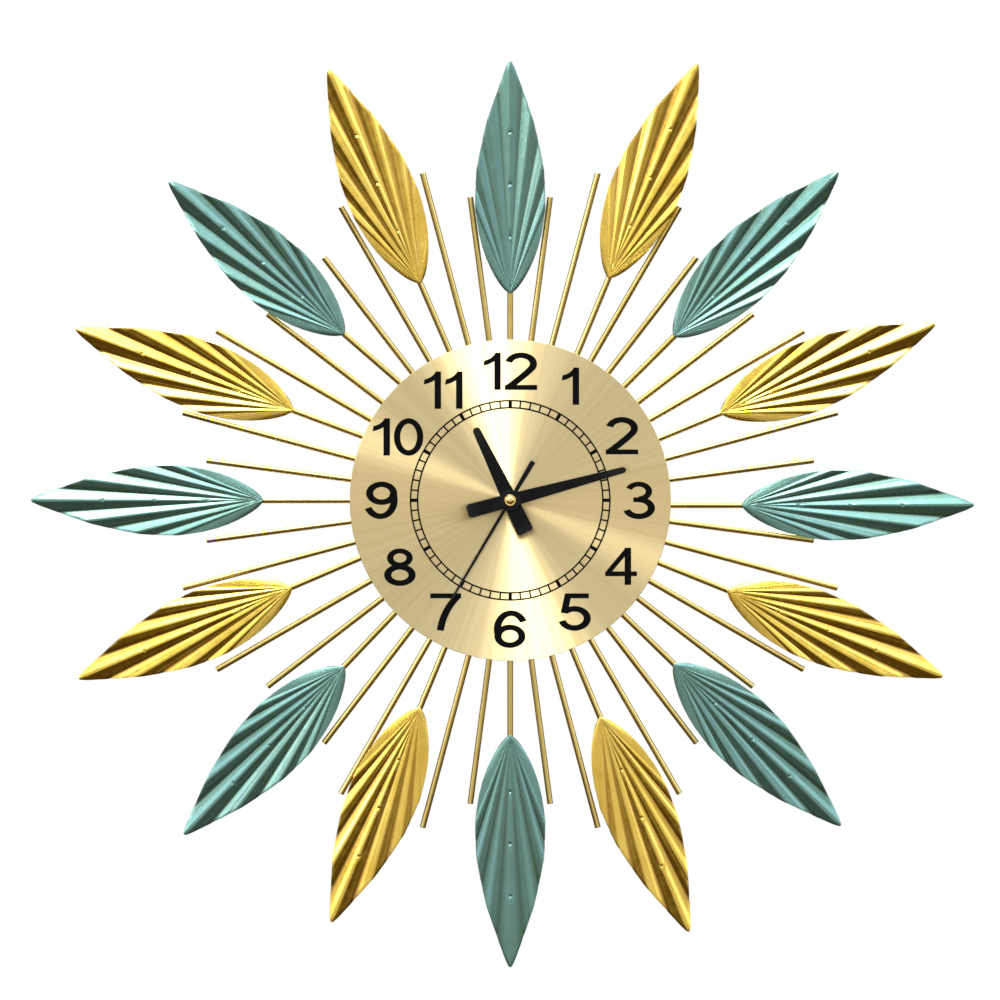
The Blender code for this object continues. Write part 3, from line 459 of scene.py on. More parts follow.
def rod_finish():
    """Brass-gold plated wire: drawn lines along it are too fine to see, the tarnish is not."""
    finish = Finish("gold_wire", (0.56, 0.42, 0.16), 1.0, 0.22)
    tarnish = finish.between(finish.noise(45.0, 5.0), 0.0, 1.0, 0.4, 0.8)
    finish.paint(tarnish, (0.62, 0.47, 0.155), (0.52, 0.37, 0.10))
    finish.roughen(finish.noise(300.0), 0.18, 0.26)
    finish.bump(finish.noise(260.0), 0.04, 0.0002)
    return finish.material


def dial_finish():
    """Champagne aluminium, turned in fine circles, so that light fans out in sectors; its colour also has
    painted sheen, in lighter radial sectors and streaks placed at random round the dial.
    """
    finish = Finish("brushed_dial", (0.78, 0.60, 0.26), 1.0, 0.34, Anisotropic=1.0, Anisotropic_Rotation=0.25)
    tangent = finish.node("ShaderNodeTangent", direction_type="RADIAL", axis="Y")
    finish.feed("Tangent", tangent.outputs["Tangent"])
    inputs = {0: finish.coordinates, 1: (1.0, 0.0, 1.0)}
    flat = finish.node("ShaderNodeVectorMath", inputs, operation="MULTIPLY").outputs[0]
    ray = finish.node("ShaderNodeVectorMath", {0: flat}, operation="NORMALIZE").outputs[0]
    radius = finish.node("ShaderNodeVectorMath", {0: flat}, operation="LENGTH").outputs["Value"]
    rays = finish.noise(14.0, 8.0, vector=ray)
    fine_rays = finish.noise(90.0, 4.0, vector=ray)
    inputs = {"W": radius, "Scale": 2200.0, "Detail": 3.0}
    rings = finish.node("ShaderNodeTexNoise", inputs, noise_dimensions="1D")
    # Painted sheen: lighter radial sectors and streaks, at random angles, stand in for the turned finish's
    # highlights.
    sheen_rays = finish.between(rays, 0.0, 1.0, 0.35, 0.65)
    colour = finish.blend(sheen_rays, (0.70, 0.545, 0.250), (0.79, 0.635, 0.315))
    colour = finish.blend(finish.between(fine_rays, 0.0, 0.5, 0.4, 0.7), colour, (0.85, 0.71, 0.40))
    finish.feed("Base Color", colour)
    finish.feed("Roughness", finish.between(finish.combine("ADD", rays, fine_rays), 0.30, 0.40, 0.7, 1.3))
    finish.bump(rings.outputs["Fac"], 0.05, 0.0001)
    return finish.material


def enamel_finish(name, roughness):
    """Black enamel, with the faint orange peel and dust of a sprayed part."""
    finish = Finish(name, (0.010, 0.010, 0.011), 0.0, roughness, Specular_IOR_Level=0.08)
    haze = finish.between(finish.noise(120.0, 4.0), 0.0, 1.0)
    colour = finish.blend(haze, (0.0012, 0.0012, 0.0012), (0.003, 0.003, 0.003))
    finish.feed("Base Color", finish.worn_edges(colour, (0.012, 0.012, 0.012)))
    finish.roughen(finish.noise(400.0), roughness - 0.05, roughness + 0.07)
    finish.bump(finish.noise(1500.0), 0.08, 0.0001)
    return finish.material


def ink_finish():
    """Screen-printed black ink, slightly uneven."""
    finish = Finish("dial_ink", (0.006, 0.006, 0.006), 0.0, 0.5, Specular_IOR_Level=0.04)
    density = finish.between(finish.noise(500.0, 4.0), 0.0, 1.0)
    finish.paint(density, (0.0005, 0.0005, 0.0005), (0.0015, 0.0015, 0.0015))
    finish.roughen(finish.noise(900.0), 0.42, 0.6)
    finish.bump(finish.noise(2500.0), 0.1, 0.00005)
    return finish.material


def metal_finish(name, light, dark, roughness, grain=(1.0, 1.0, 1.0)):
    """Bare or plated metal with a grain, tarnish and bright worn edges."""
    finish = Finish(name, light, 1.0, roughness)
    tarnish = finish.between(finish.noise(140.0, 5.0), 0.0, 1.0, 0.4, 0.75)
    colour = finish.blend(tarnish, light, dark)
    bright = [min(1.0, 1.2 * value + 0.05) for value in light]
    finish.feed("Base Color", finish.worn_edges(colour, bright))
    smears = finish.noise(500.0, 3.0, grain)
    finish.roughen(smears, roughness - 0.06, roughness + 0.1)
    finish.bump(finish.noise(1500.0, 3.0, grain), 0.08, 0.0001)
    return finish.material


def plastic_finish(name, light, dark, roughness, texture=1600.0, depth=0.12, glow=0.0):
    """Moulded plastic: spark texture, faint flow marks and rubbed edges."""
    finish = Finish(name, light, 0.0, roughness, Subsurface_Weight=glow, Subsurface_Scale=0.001)
    flow = finish.between(finish.noise(60.0, 4.0, (1.0, 1.0, 3.0)), 0.0, 1.0)
    colour = finish.blend(flow, light, dark)
    rubbed = [min(1.0, 1.4 * value + 0.02) for value in light]
    finish.feed("Base Color", finish.worn_edges(colour, rubbed))
    finish.roughen(finish.noise(350.0), roughness - 0.06, roughness + 0.08)
    finish.bump(finish.noise(texture, 2.0), depth, 0.0002)
    return finish.material


def rubber_finish():
    """Soft black foam rubber, dusty and open-pored."""
    finish = Finish("foam_rubber", (0.03, 0.03, 0.03), 0.0, 0.85, Sheen_Weight=0.15, Sheen_Roughness=0.5)
    dust = finish.between(finish.noise(90.0, 5.0), 0.0, 1.0)
    finish.paint(dust, (0.020, 0.020, 0.020), (0.050, 0.048, 0.045))
    pores = finish.node("ShaderNodeTexVoronoi", {"Vector": finish.coordinates, "Scale": 1400.0})
    finish.feed("Roughness", finish.between(pores.outputs["Distance"], 0.75, 0.95, 0.0, 0.6))
    finish.bump(pores.outputs["Distance"], 0.35, 0.0003)
    return finish.material


def board_finish():
    """Green solder mask with the copper tracks showing through it."""
    finish = Finish("solder_mask", (0.03, 0.18, 0.07), 0.0, 0.35, Coat_Weight=0.4, Coat_Roughness=0.2)
    inputs = {"Vector": finish.coordinates, "Scale": 260.0, "Mortar Size": 0.05}
    tracks = finish.node("ShaderNodeTexBrick", inputs)
    colour = finish.blend(tracks.outputs["Fac"], (0.022, 0.15, 0.055), (0.055, 0.26, 0.10))
    finish.feed("Base Color", finish.worn_edges(colour, (0.32, 0.30, 0.16)))
    finish.roughen(finish.noise(400.0), 0.28, 0.44)
    finish.bump(tracks.outputs["Fac"], 0.25, 0.0001)
    return finish.material


def winding_finish():
    """Enamelled copper wire, wound round the bobbin side by side."""
    finish = Finish("copper_winding", (0.70, 0.32, 0.14), 0.9, 0.32, Coat_Weight=0.3, Coat_Roughness=0.2)
    inputs = {"Vector": finish.coordinates, "Scale": 1500.0, "Distortion": 0.6, "Detail": 2.0}
    turns = finish.node("ShaderNodeTexWave", inputs, wave_type="BANDS", bands_direction="X").outputs["Fac"]
    # Painted shade and highlight: the colour runs from dark in the grooves between turns to light on their
    # crowns.
    finish.paint(turns, (0.42, 0.15, 0.05), (0.80, 0.40, 0.18))
    finish.roughen(finish.noise(500.0), 0.26, 0.4)
    finish.bump(turns, 0.5, 0.0001)
    return finish.material


def wrap_finish():
    """The cell's plain printed wrap: a dark blue barrel with a copper-coloured band at one end."""
    finish = Finish("battery_wrap", (0.05, 0.10, 0.30), 0.2, 0.30, Coat_Weight=0.5, Coat_Roughness=0.15)
    x = finish.node("ShaderNodeSeparateXYZ", {"Vector": finish.coordinates}).outputs["X"]
    band = finish.between(x, 0.0, 1.0, *WRAP_BAND)
    cloud = finish.between(finish.noise(80.0), 0.0, 1.0)
    blue = finish.blend(cloud, (0.035, 0.07, 0.22), (0.055, 0.11, 0.30))
    colour = finish.blend(band, blue, (0.66, 0.36, 0.15))
    nub = finish.between(x, 0.0, 1.0, *WRAP_NUB)
    finish.paint(nub, colour, (0.62, 0.60, 0.56))
    finish.roughen(finish.noise(300.0), 0.24, 0.4)
    finish.bump(finish.noise(700.0), 0.06, 0.0002)
    return finish.material


GOLD_LEAF = gold_leaf_finish()
TEAL_LEAF = teal_leaf_finish()
GOLD_WIRE = rod_finish()
DIAL = dial_finish()
HAND_BLACK = enamel_finish("hand_enamel", 0.32)
INK = ink_finish()
CAP_BRASS = metal_finish("polished_brass", (0.86, 0.62, 0.22), (0.60, 0.38, 0.12), 0.16)
NUT_BRASS = metal_finish("machined_brass", (0.80, 0.60, 0.26), (0.58, 0.40, 0.15), 0.28)
GEAR_BRASS = metal_finish("gear_brass", (0.80, 0.62, 0.28), (0.60, 0.44, 0.18), 0.30)
ZINC = metal_finish("zinc_plate", (0.60, 0.60, 0.62), (0.44, 0.45, 0.46), 0.36, (1.0, 1.0, 8.0))
NICKEL = metal_finish("nickel_strip", (0.70, 0.68, 0.64), (0.50, 0.48, 0.45), 0.26, (1.0, 1.0, 6.0))
MAGNET = metal_finish("sintered_magnet", (0.13, 0.13, 0.14), (0.08, 0.08, 0.09), 0.45)
CASE = plastic_finish("case_plastic", (0.026, 0.026, 0.028), (0.020, 0.020, 0.021), 0.44)
ACETAL = plastic_finish("white_acetal", (0.80, 0.80, 0.76), (0.72, 0.71, 0.66), 0.36, 900.0, 0.06, 0.1)
RUBBER = rubber_finish()
BOARD = board_finish()
WINDING = winding_finish()
WRAP = wrap_finish()


# ------------------------ leaves


def leaf_half_width(distance, length):
    """Half the leaf's width at this distance from its base."""
    peak = LEAF_SHOULDER / (LEAF_SHOULDER + LEAF_TAPER - LEAF_BLUNTNESS)
    run = min(max(distance / length, 0.0), 1.0)
    left = (1 - run) / (1 - peak)
    taper = (1 - LEAF_BLUNTNESS) * left**LEAF_TAPER + LEAF_BLUNTNESS * math.sqrt(left)
    from_tip = min((1 - run) * length, TIP_RADIUS)
    tip = math.sqrt(2 * TIP_RADIUS * from_tip - from_tip * from_tip)
    return max(LEAF_WIDTH / 2 * (run / peak) ** LEAF_SHOULDER * taper, tip if run > peak else 0.0)


def fold_start(angle):
    """Where the fold at this angle leaves the midrib."""
    return max(MIDRIB_START - FOLD_SPREAD * abs(angle), 0.0)


def fold_end(angle, length):
    """Distance from the base at which the fold meets the leaf's edge, found by halving."""
    start = fold_start(angle)
    slope = math.tan(math.radians(abs(angle)))
    inside, outside = start, length
    for _ in range(FOLD_HALVINGS):
        middle = (inside + outside) / 2
        if (middle - start) * slope < leaf_half_width(middle, length):
            inside = middle
        else:
            outside = middle
    return inside


def pleat(angle):
    """+1 on a ridge and -1 in a valley, with rounded folds; it fades out past the last ridge."""
    pitches = abs(angle) / PLEAT_ANGLE
    if pitches > PLEAT_COUNT:
        fade = min((pitches - PLEAT_COUNT) / PLEAT_FADE, 1.0)
        return 0.5 + 0.5 * math.cos(math.pi * fade)
    wave = math.cos(2 * math.pi * pitches)
    fold = math.asin(FOLD_CRISPNESS * wave) / math.asin(FOLD_CRISPNESS)
    return fold + RIPPLE * math.sin(2 * math.pi * RIPPLES * pitches)


def leaf_angles():
    """The angles of the mesh's columns, from one side of the leaf to the other."""
    last = PLEAT_COUNT + 0.5
    steps = round(last * PLEAT_COLUMNS)
    half = [PLEAT_ANGLE * last * i / steps for i in range(1, steps + 1)]
    half = [a for a in half if a > WELD_ANGLES[-1] + WELD_CLEAR]
    rest = LEAF_FAN_ANGLE - half[-1]
    margin = [half[-1] + rest * i / MARGIN_COLUMNS for i in range(1, MARGIN_COLUMNS + 1)]
    half = list(WELD_ANGLES) + half + margin
    return [-a for a in reversed(half)] + [0.0] + half


def leaf_shares(reach):
    """How far along its fold each row lies: even steps, and closer ones round the welds."""
    shares = {round(i / LEAF_ROWS, 6) for i in range(LEAF_ROWS + 1)}
    for weld in WELD_PLACES[1:]:
        middle = (weld - MIDRIB_START) / reach
        spread = WELD_RINGS[-1] / reach
        shares = {s for s in shares if abs(s - middle) > spread}
        shares |= {round(middle + ring / reach, 6) for ring in WELD_RINGS}
    return sorted(shares)


def weld_press(x, y):
    """The dent of the nearest spot weld at this point, with its small raised collar."""
    for place in WELD_PLACES:
        away = math.hypot(x - place, y) / WELD_RADIUS
        if away < 1.0:
            return -WELD_DEPTH * (1 - away * away) ** 2
        if away < 1.0 + COLLAR_WIDTH:
            return WELD_COLLAR * math.sin(math.pi * (away - 1.0) / COLLAR_WIDTH)
    return 0.0


def leaf_shape(length, seed):
    """One pressed leaf along x, its base at the origin. Each point holds how deep in a valley it lies, the
    angle of its fold, and how far along the fold it is."""
    chance = random.Random(seed)
    depths = [1 + chance.uniform(-PLEAT_UNEVENNESS, PLEAT_UNEVENNESS) for _ in range(4 * PLEAT_COUNT + 4)]
    angles = leaf_angles()
    shares = leaf_shares(fold_end(0.0, length) - MIDRIB_START)
    shape = bmesh.new()
    valley = shape.verts.layers.float.new("valley")
    crease = shape.verts.layers.float.new("crease")
    outward = shape.verts.layers.float.new("outward")
    last_ridge = PLEAT_ANGLE * PLEAT_COUNT
    columns = []
    for angle in angles:
        start = fold_start(angle)
        side = math.tan(math.radians(angle))
        wave = pleat(angle)
        fold = round(2 * angle / PLEAT_ANGLE) + 2 * PLEAT_COUNT + 2
        depth = depths[min(max(fold, 0), len(depths) - 1)]
        reach = fold_end(angle, length) - start
        cut = RIM_SCALLOP * (1 - wave) / 2 / math.hypot(1.0, side)
        outside = max(abs(angle) - last_ridge, 0.0) / (LEAF_FAN_ANGLE - last_ridge)
        column = []
        for share in shares:
            run = reach * share - cut * share**SCALLOP_POWER
            rise = PLEAT_RISE / 2 * math.hypot(run, side * run) * wave * depth
            x, y = start + run, side * run
            droop = MARGIN_DROOP * (outside * share) ** DROOP_POWER
            vert = shape.verts.new((x, y, rise - droop + weld_press(x, y)))
            # How deep in a valley the point lies; the leaf finishes use it to paint shade into the valleys.
            vert[valley] = max(-wave, 0.0) * min(share * 3, 1.0)
            vert[crease] = angle
            vert[outward] = min(share * 2, 1.0)
            column.append(vert)
        columns.append(column)
    for left, right in zip(columns, columns[1:]):
        for row in range(len(shares) - 1):
            shape.faces.new((left[row], left[row + 1], right[row + 1], right[row]))
    merged(shape)
    bmesh.ops.dissolve_degenerate(shape, dist=1e-7, edges=shape.edges)
    return shape


def add_leaf(index):
    """A leaf where its CAD node is, base to tip."""
    node = f"leaf_{index + 1:02d}"
    points = face_points(node)
    base = min(points, key=lambda p: math.hypot(p.x, p.y))
    tip = max(points, key=lambda p: math.hypot(p.x, p.y))
    length = math.hypot(tip.x - base.x, tip.y - base.y)
    direction = direction_of((tip.x - base.x, tip.y - base.y))
    level = min(p.z for p in points if (p.xy - base.xy).length < BASE_REACH)
    shape = leaf_shape(length, index)
    move(shape, spoke(direction, (base.x, base.y), level))
    teal = index % 2 == 0
    look, slot = (TEAL_LEAF, "leaf_teal") if teal else (GOLD_LEAF, "leaf_gold")
    leaf = add_piece(f"pressed_leaf_{index + 1:02d}", shape, look, "clock", (node,), flats=False)
    solidify = leaf.modifiers.new("gauge", "SOLIDIFY")
    solidify.thickness = LEAF_GAUGE
    solidify.offset = 1.0
    bevel = leaf.modifiers.new("rim", "BEVEL")
    bevel.width = RIM_ROUNDING
    bevel.segments = 2
    bevel.limit_method = "ANGLE"
    bevel.angle_limit = math.radians(RIM_LEAST)


# ------------------------ wires and the plate behind the dial


def wire_shape(start, end, radius):
    """A round wire along x with its cut ends rounded."""
    turn = [90 * i / 3 for i in range(4)]
    profile = [(0.0, end)]
    profile += [along(a, WIRE_ROUNDING, (radius - WIRE_ROUNDING, end - WIRE_ROUNDING)) for a in turn]
    profile += [along(90 + a, WIRE_ROUNDING, (radius - WIRE_ROUNDING, start + WIRE_ROUNDING)) for a in turn]
    profile.append((0.0, start))
    wire = lathe(profile, WIRE_SIDES)
    move(wire, Matrix.Rotation(math.radians(90), 4, "Y"))
    return wire


def bead_shape():
    """A lump of weld metal, flattened against what it joins."""
    bead = bmesh.new()
    bmesh.ops.create_icosphere(bead, subdivisions=2, radius=BEAD_RADIUS)
    bmesh.ops.scale(bead, vec=BEAD_SHAPE, verts=bead.verts)
    return bead


def wire_ends(points):
    """The middles of a CAD wire's two ends, the nearer one to the clock's centre first, and its radius."""
    ordered = sorted(points, key=lambda p: p.xy.length)
    near = ordered[:CAD_WIRE_SIDES]
    far = ordered[-CAD_WIRE_SIDES:]
    radius = (max(p.z for p in near) - min(p.z for p in near)) / 2
    return sum(near, Vector()) / len(near), sum(far, Vector()) / len(far), radius


def add_stem(index):
    """A stem as a round wire, with the pads that its leaf is welded to."""
    node = f"leaf_stem_{index + 1:02d}"
    points = face_points(node)
    start, end, radius = wire_ends(points)
    run = (end - start).normalized()
    length = (end - start).length
    shape = wire_shape(0.0, length, radius)
    for weld in WELD_PLACES[1:]:
        middle = length - STEM_UNDER_LEAF + weld
        top = max(p.z for p in points if abs((p - start).dot(run) - middle) < 2 * PAD_RADIUS) - start.z
        pad = lathe(rounded_profile(PAD_RADIUS, 0.0, 0.0, top, PAD_RADIUS / 4), WIRE_SIDES)
        join(shape, pad, Matrix.Translation((middle, 0.0, 0.0)))
    move(shape, spoke(direction_of(run), start.xy, start.z))
    add_piece(f"stem_wire_{index + 1:02d}", shape, GOLD_WIRE, "clock", (node,))


def add_ray_plate():
    """The plate with its rolled rim, and the free rods welded across its back."""
    points = face_points("ray_plate")
    front = max(p.z for p in points)
    back = front - PLATE_THICKNESS
    on_plate = [p.xy.length for p in points if p.z > front - PLATE_ROUNDING]
    rim, bore = max(on_plate), min(on_plate)
    shape = lathe(rounded_profile(rim, bore, back, front, PLATE_ROUNDING), DIAL_SIDES)
    for index in range(LEAF_COUNT):
        for side in (-1, 1):
            direction = 360 / LEAF_COUNT * index + side * ROD_PITCH
            heading = Vector(along(direction, 1.0))
            beside = [p for p in points if p.xy.dot(heading) > 0 and abs(p.xy.cross(heading)) < ROD_CORRIDOR]
            end = [p for p in beside if p.xy.length > rim + ROD_CORRIDOR]
            radius = (max(p.z for p in end) - min(p.z for p in end)) / 2
            level = (max(p.z for p in end) + min(p.z for p in end)) / 2
            start = min(p.xy.dot(heading) for p in beside if p.z < level)
            reach = max(p.xy.dot(heading) for p in end)
            place = spoke(direction, (0.0, 0.0), level)
            join(shape, wire_shape(start, reach, radius), place)
            for distance in (start + 2 * BEAD_RADIUS, rim - BEAD_RADIUS):
                for flank in (-1, 1):
                    offset = Vector((distance, flank * radius * BEAD_SPREAD, back - level))
                    join(shape, bead_shape(), place @ Matrix.Translation(offset))
    add_piece("ray_plate_and_rods", shape, GOLD_WIRE, "clock", ("ray_plate",))


# ------------------------ dial and its print


def add_dial():
    back, front = levels("dial_disc")
    distances = [p.xy.length for p in face_points("dial_disc")]
    profile = rounded_profile(max(distances), min(distances), back, front, DIAL_ROUNDING)
    add_piece("brushed_dial", lathe(profile, DIAL_SIDES), DIAL, "clock", ("dial_disc",))


def arc(centre, radii, start, end):
    """Points of part of an ellipse, in degrees anticlockwise from its right side."""
    steps = round(abs(end - start) / ARC_STEP)
    turn = [math.radians(start + (end - start) * i / steps) for i in range(steps + 1)]
    return [(centre[0] + radii[0] * math.cos(a), centre[1] + radii[1] * math.sin(a)) for a in turn]


def bend(start, control, end):
    """Points of a quadratic curve."""
    steps = [i / BEND_STEPS for i in range(BEND_STEPS + 1)]
    weights = [((1 - t) ** 2, 2 * t * (1 - t), t * t) for t in steps]
    return [tuple(a * s + b * c + d * e for s, c, e in zip(start, control, end)) for a, b, d in weights]


def thickened(shape, height):
    """A solid from flat faces, this high."""
    raised = bmesh.ops.extrude_face_region(shape, geom=list(shape.faces))["geom"]
    top = [v for v in raised if isinstance(v, bmesh.types.BMVert)]
    bmesh.ops.translate(shape, vec=(0.0, 0.0, height), verts=top)
    bmesh.ops.recalc_face_normals(shape, faces=shape.faces)
    return shape


def block(outline):
    """A flat solid, one ink layer thick, with this outline."""
    shape = bmesh.new()
    shape.faces.new([shape.verts.new((x, y, 0.0)) for x, y in outline])
    return thickened(shape, INK_THICKNESS / NUMERAL_HEIGHT)


def bar(left, foot, right, top):
    return block([(left, foot), (right, foot), (right, top), (left, top)])


def edge_points(points, width):
    """The two edges of a stroke of this width along the points."""
    left, right = [], []
    for i, point in enumerate(points):
        before = Vector(points[max(i - 1, 0)])
        after = Vector(points[min(i + 1, len(points) - 1)])
        run = (after - before).normalized() * width / 2
        left.append((point[0] - run.y, point[1] + run.x))
        right.append((point[0] + run.y, point[1] - run.x))
    return left, right


def stroke(points, width):
    left, right = edge_points(points, width)
    return block(left + right[::-1])


def ring(centre, radii, width):
    """A closed stroke round an ellipse."""
    inner = [r - width / 2 for r in radii]
    outer = [r + width / 2 for r in radii]
    shape = bmesh.new()
    loops = []
    for radius in (outer, inner):
        for level in (0.0, INK_THICKNESS / NUMERAL_HEIGHT):
            loops.append([shape.verts.new((x, y, level)) for x, y in arc(centre, radius, 0, 360)[:-1]])
    outer_back, outer_front, inner_back, inner_front = loops
    for first, second in (
        (outer_back, outer_front),
        (outer_front, inner_front),
        (inner_front, inner_back),
        (inner_back, outer_back),
    ):
        for i in range(len(first)):
            shape.faces.new((first[i - 1], first[i], second[i], second[i - 1]))
    bmesh.ops.recalc_face_normals(shape, faces=shape.faces)
    return shape


def six():
    tail = stroke(arc((0.035, 0.50), (0.285, 0.432), 28, 205), STROKE)
    return [ring((0.008, 0.312), (0.248, 0.240), STROKE), tail]


def nine():
    shapes = six()
    half_turn = Matrix.Translation((0.0, 1.0, 0.0)) @ Matrix.Rotation(math.pi, 4, "Z")
    for shape in shapes:
        move(shape, half_turn)
    return shapes


def digit_shapes(digit):
    """The overlapping strokes of a plain sans-serif digit, one unit high, its foot at the origin."""
    thin = THIN_STROKE
    if digit == "0":
        return [ring((0.0, 0.5), (0.272, 0.430), STROKE)]
    if digit == "1":
        stem = [(-0.075, 0.0), (0.075, 0.0), (0.075, 1.0), (-0.022, 1.0)]
        flag = arc((-0.40, 1.13), (0.38, 0.35), -20, -76) + [(-0.33, 0.65)]
        return [block(stem + flag + [(-0.20, 0.69), (-0.075, 0.765)])]
    if digit == "2":
        hook = arc((0.0, 0.700), (0.258, 0.230), 168, -25)
        slope = bend(hook[-1], (0.14, 0.46), (-0.25, 0.08))
        base = bar(-0.335, 0.0, 0.335, thin)
        return [stroke(hook + slope[1:], STROKE), base]
    if digit == "3":
        upper = stroke(arc((-0.010, 0.737), (0.212, 0.197), 160, -90), thin)
        lower = stroke(arc((-0.005, 0.291), (0.258, 0.225), 90, -166), STROKE)
        middle = bar(-0.12, 0.450, 0.01, 0.577)
        return [upper, lower, middle]
    if digit == "4":
        post = bar(0.070, 0.0, 0.215, 1.0)
        crossbar = bar(-0.365, 0.235, 0.345, 0.362)
        slope = block([(-0.365, 0.340), (-0.225, 0.340), (0.095, 0.795), (0.095, 1.0)])
        return [post, crossbar, slope]
    if digit == "5":
        top = bar(-0.190, 0.868, 0.290, 1.0)
        stem = block([(-0.205, 0.990), (-0.290, 0.480), (-0.150, 0.460), (-0.080, 0.890), (-0.080, 0.990)])
        bowl = stroke(arc((-0.008, 0.328), (0.265, 0.258), 136, -165), STROKE)
        return [top, stem, bowl]
    if digit == "6":
        return six()
    if digit == "7":
        top = bar(-0.315, 0.868, 0.325, 1.0)
        return [top, stroke(bend((0.255, 0.925), (-0.055, 0.52), (-0.105, 0.0)), STROKE)]
    if digit == "8":
        return [ring((0.0, 0.746), (0.200, 0.188), thin), ring((0.0, 0.287), (0.252, 0.219), STROKE)]
    return nine()


def united(shapes):
    """One solid from overlapping ones."""
    objects = [to_object("stroke", shape) for shape in shapes]
    for other in objects[1:]:
        boolean = objects[0].modifiers.new("join", "BOOLEAN")
        boolean.operation = "UNION"
        boolean.solver = "EXACT"
        boolean.object = other
    bpy.context.view_layer.update()
    evaluated = objects[0].evaluated_get(bpy.context.evaluated_depsgraph_get())
    result = bmesh.new()
    result.from_mesh(evaluated.to_mesh())
    for obj in objects:
        bpy.data.objects.remove(obj, do_unlink=True)
    return result


def add_numerals():
    """The hours, printed upright, each with the middle of its ink on the numeral circle."""
    digits = {digit: united(digit_shapes(digit)) for digit in "0123456789"}
    for digit, shape in digits.items():
        bmesh.ops.scale(shape, vec=(NARROWER.get(digit, WIDENING), 1.0, 1.0), verts=shape.verts)
    level = levels("dial_disc")[1] - INK_SUNK
    print_shape = bmesh.new()
    for hour in range(1, 13):
        x, y = along(30 * hour + NUMERAL_SWINGS.get(hour, 0.0), NUMERAL_RADIUS)
        text = str(hour)
        spans = [(min(v.co.x for v in digits[d].verts), max(v.co.x for v in digits[d].verts)) for d in text]
        width = sum(high - low for low, high in spans) * NUMERAL_HEIGHT + NUMERAL_GAP * (len(text) - 1)
        left = x - width / 2
        for digit, (low, high) in zip(text, spans):
            place = Matrix.Translation((left - low * NUMERAL_HEIGHT, y - NUMERAL_HEIGHT / 2, level))
            join(print_shape, digits[digit].copy(), place @ Matrix.Scale(NUMERAL_HEIGHT, 4))
            left += (high - low) * NUMERAL_HEIGHT + NUMERAL_GAP
    for shape in digits.values():
        shape.free()
    add_piece("dial_numerals", print_shape, INK, "clock")


def add_minute_track():
    """Two thin rings with a tick between them at each minute."""
    back = levels("dial_disc")[1] - INK_SUNK
    half = TRACK_LINE / 2
    rows = [TRACK_RADII[0] - half, TRACK_RADII[0] + half, TRACK_RADII[1] - half, TRACK_RADII[1] + half]
    middle = sum(TRACK_RADII) / 2
    stops = []
    for minute in range(60):
        wide = HOUR_TICK if minute % 5 == 0 else MINUTE_TICK
        reach = math.degrees(wide / 2 / middle)
        stops += [(6 * minute - reach, True), (6 * minute + reach, False), (6 * minute + 3, False)]
    shape = bmesh.new()
    columns = [[shape.verts.new((*along(angle, r), back)) for r in rows] for angle, _ in stops]
    for i, (_, ticked) in enumerate(stops):
        left, right = columns[i], columns[(i + 1) % len(columns)]
        for row in (0, 1, 2) if ticked else (0, 2):
            shape.faces.new((left[row], left[row + 1], right[row + 1], right[row]))
    thickened(shape, INK_THICKNESS)
    add_piece("minute_track", shape, INK, "clock")


# ------------------------ hands and the turned pieces


def add_hand(node, body, corner):
    """A hand with its outline's corners turned and its edges broken."""
    shape = cad_shape(node)
    shape.normal_update()
    upright = [
        e for e in shape.edges
        if e.calc_face_angle(0.0) > math.radians(CORNER_LEAST)
        and abs((e.verts[0].co - e.verts[1].co).normalized().z) > 0.99
        and e.verts[0].co.xy.length > HAND_HUB_REACH
    ]
    bevel_edges(shape, upright, corner, 4)
    round_edges(shape, HAND_EDGE, 2, HAND_EDGE_LEAST)
    add_piece(node + "_finished", shape, HAND_BLACK, body, (node,))


def add_cap():
    """The polished brass cap over the hands' hubs."""
    low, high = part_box("second_cap")
    radius = (high.x - low.x) / 2
    back, front = levels("second_cap")
    shoulder = back + CAP_RIM
    profile = rounded_profile(radius, 0.0, back, shoulder, CAP_RIM / 4)
    dome = [along(90 * i / CAP_STEPS, 1.0) for i in range(CAP_STEPS + 1)]
    profile = [(CAP_DOME_RADIUS * x, shoulder + (front - shoulder) * y) for x, y in dome] + profile[1:]
    shape = lathe(profile, TURNED_SIDES)
    add_piece("second_cap_finished", shape, CAP_BRASS, "second", ("second_cap",))


def add_bumpers():
    for node in ("bumper_left", "bumper_right"):
        points = face_points(node)
        low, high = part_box(node)
        back, front = levels(node)
        middle = (low.x + high.x) / 2
        foot = (high.x - low.x) / 2
        top = max(p.x for p in points if p.z > (back + front) / 2) - middle
        profile = [(0.0, front), (top - BUMPER_ROUNDING, front), (top, front - BUMPER_ROUNDING)]
        profile += [(foot, back + BUMPER_ROUNDING), (foot - BUMPER_ROUNDING, back), (0.0, back)]
        shape = lathe(profile, TURNED_SIDES)
        bmesh.ops.translate(shape, vec=(middle, (low.z + high.z) / 2, 0.0), verts=shape.verts)
        add_piece(node + "_finished", shape, RUBBER, "clock", (node,))


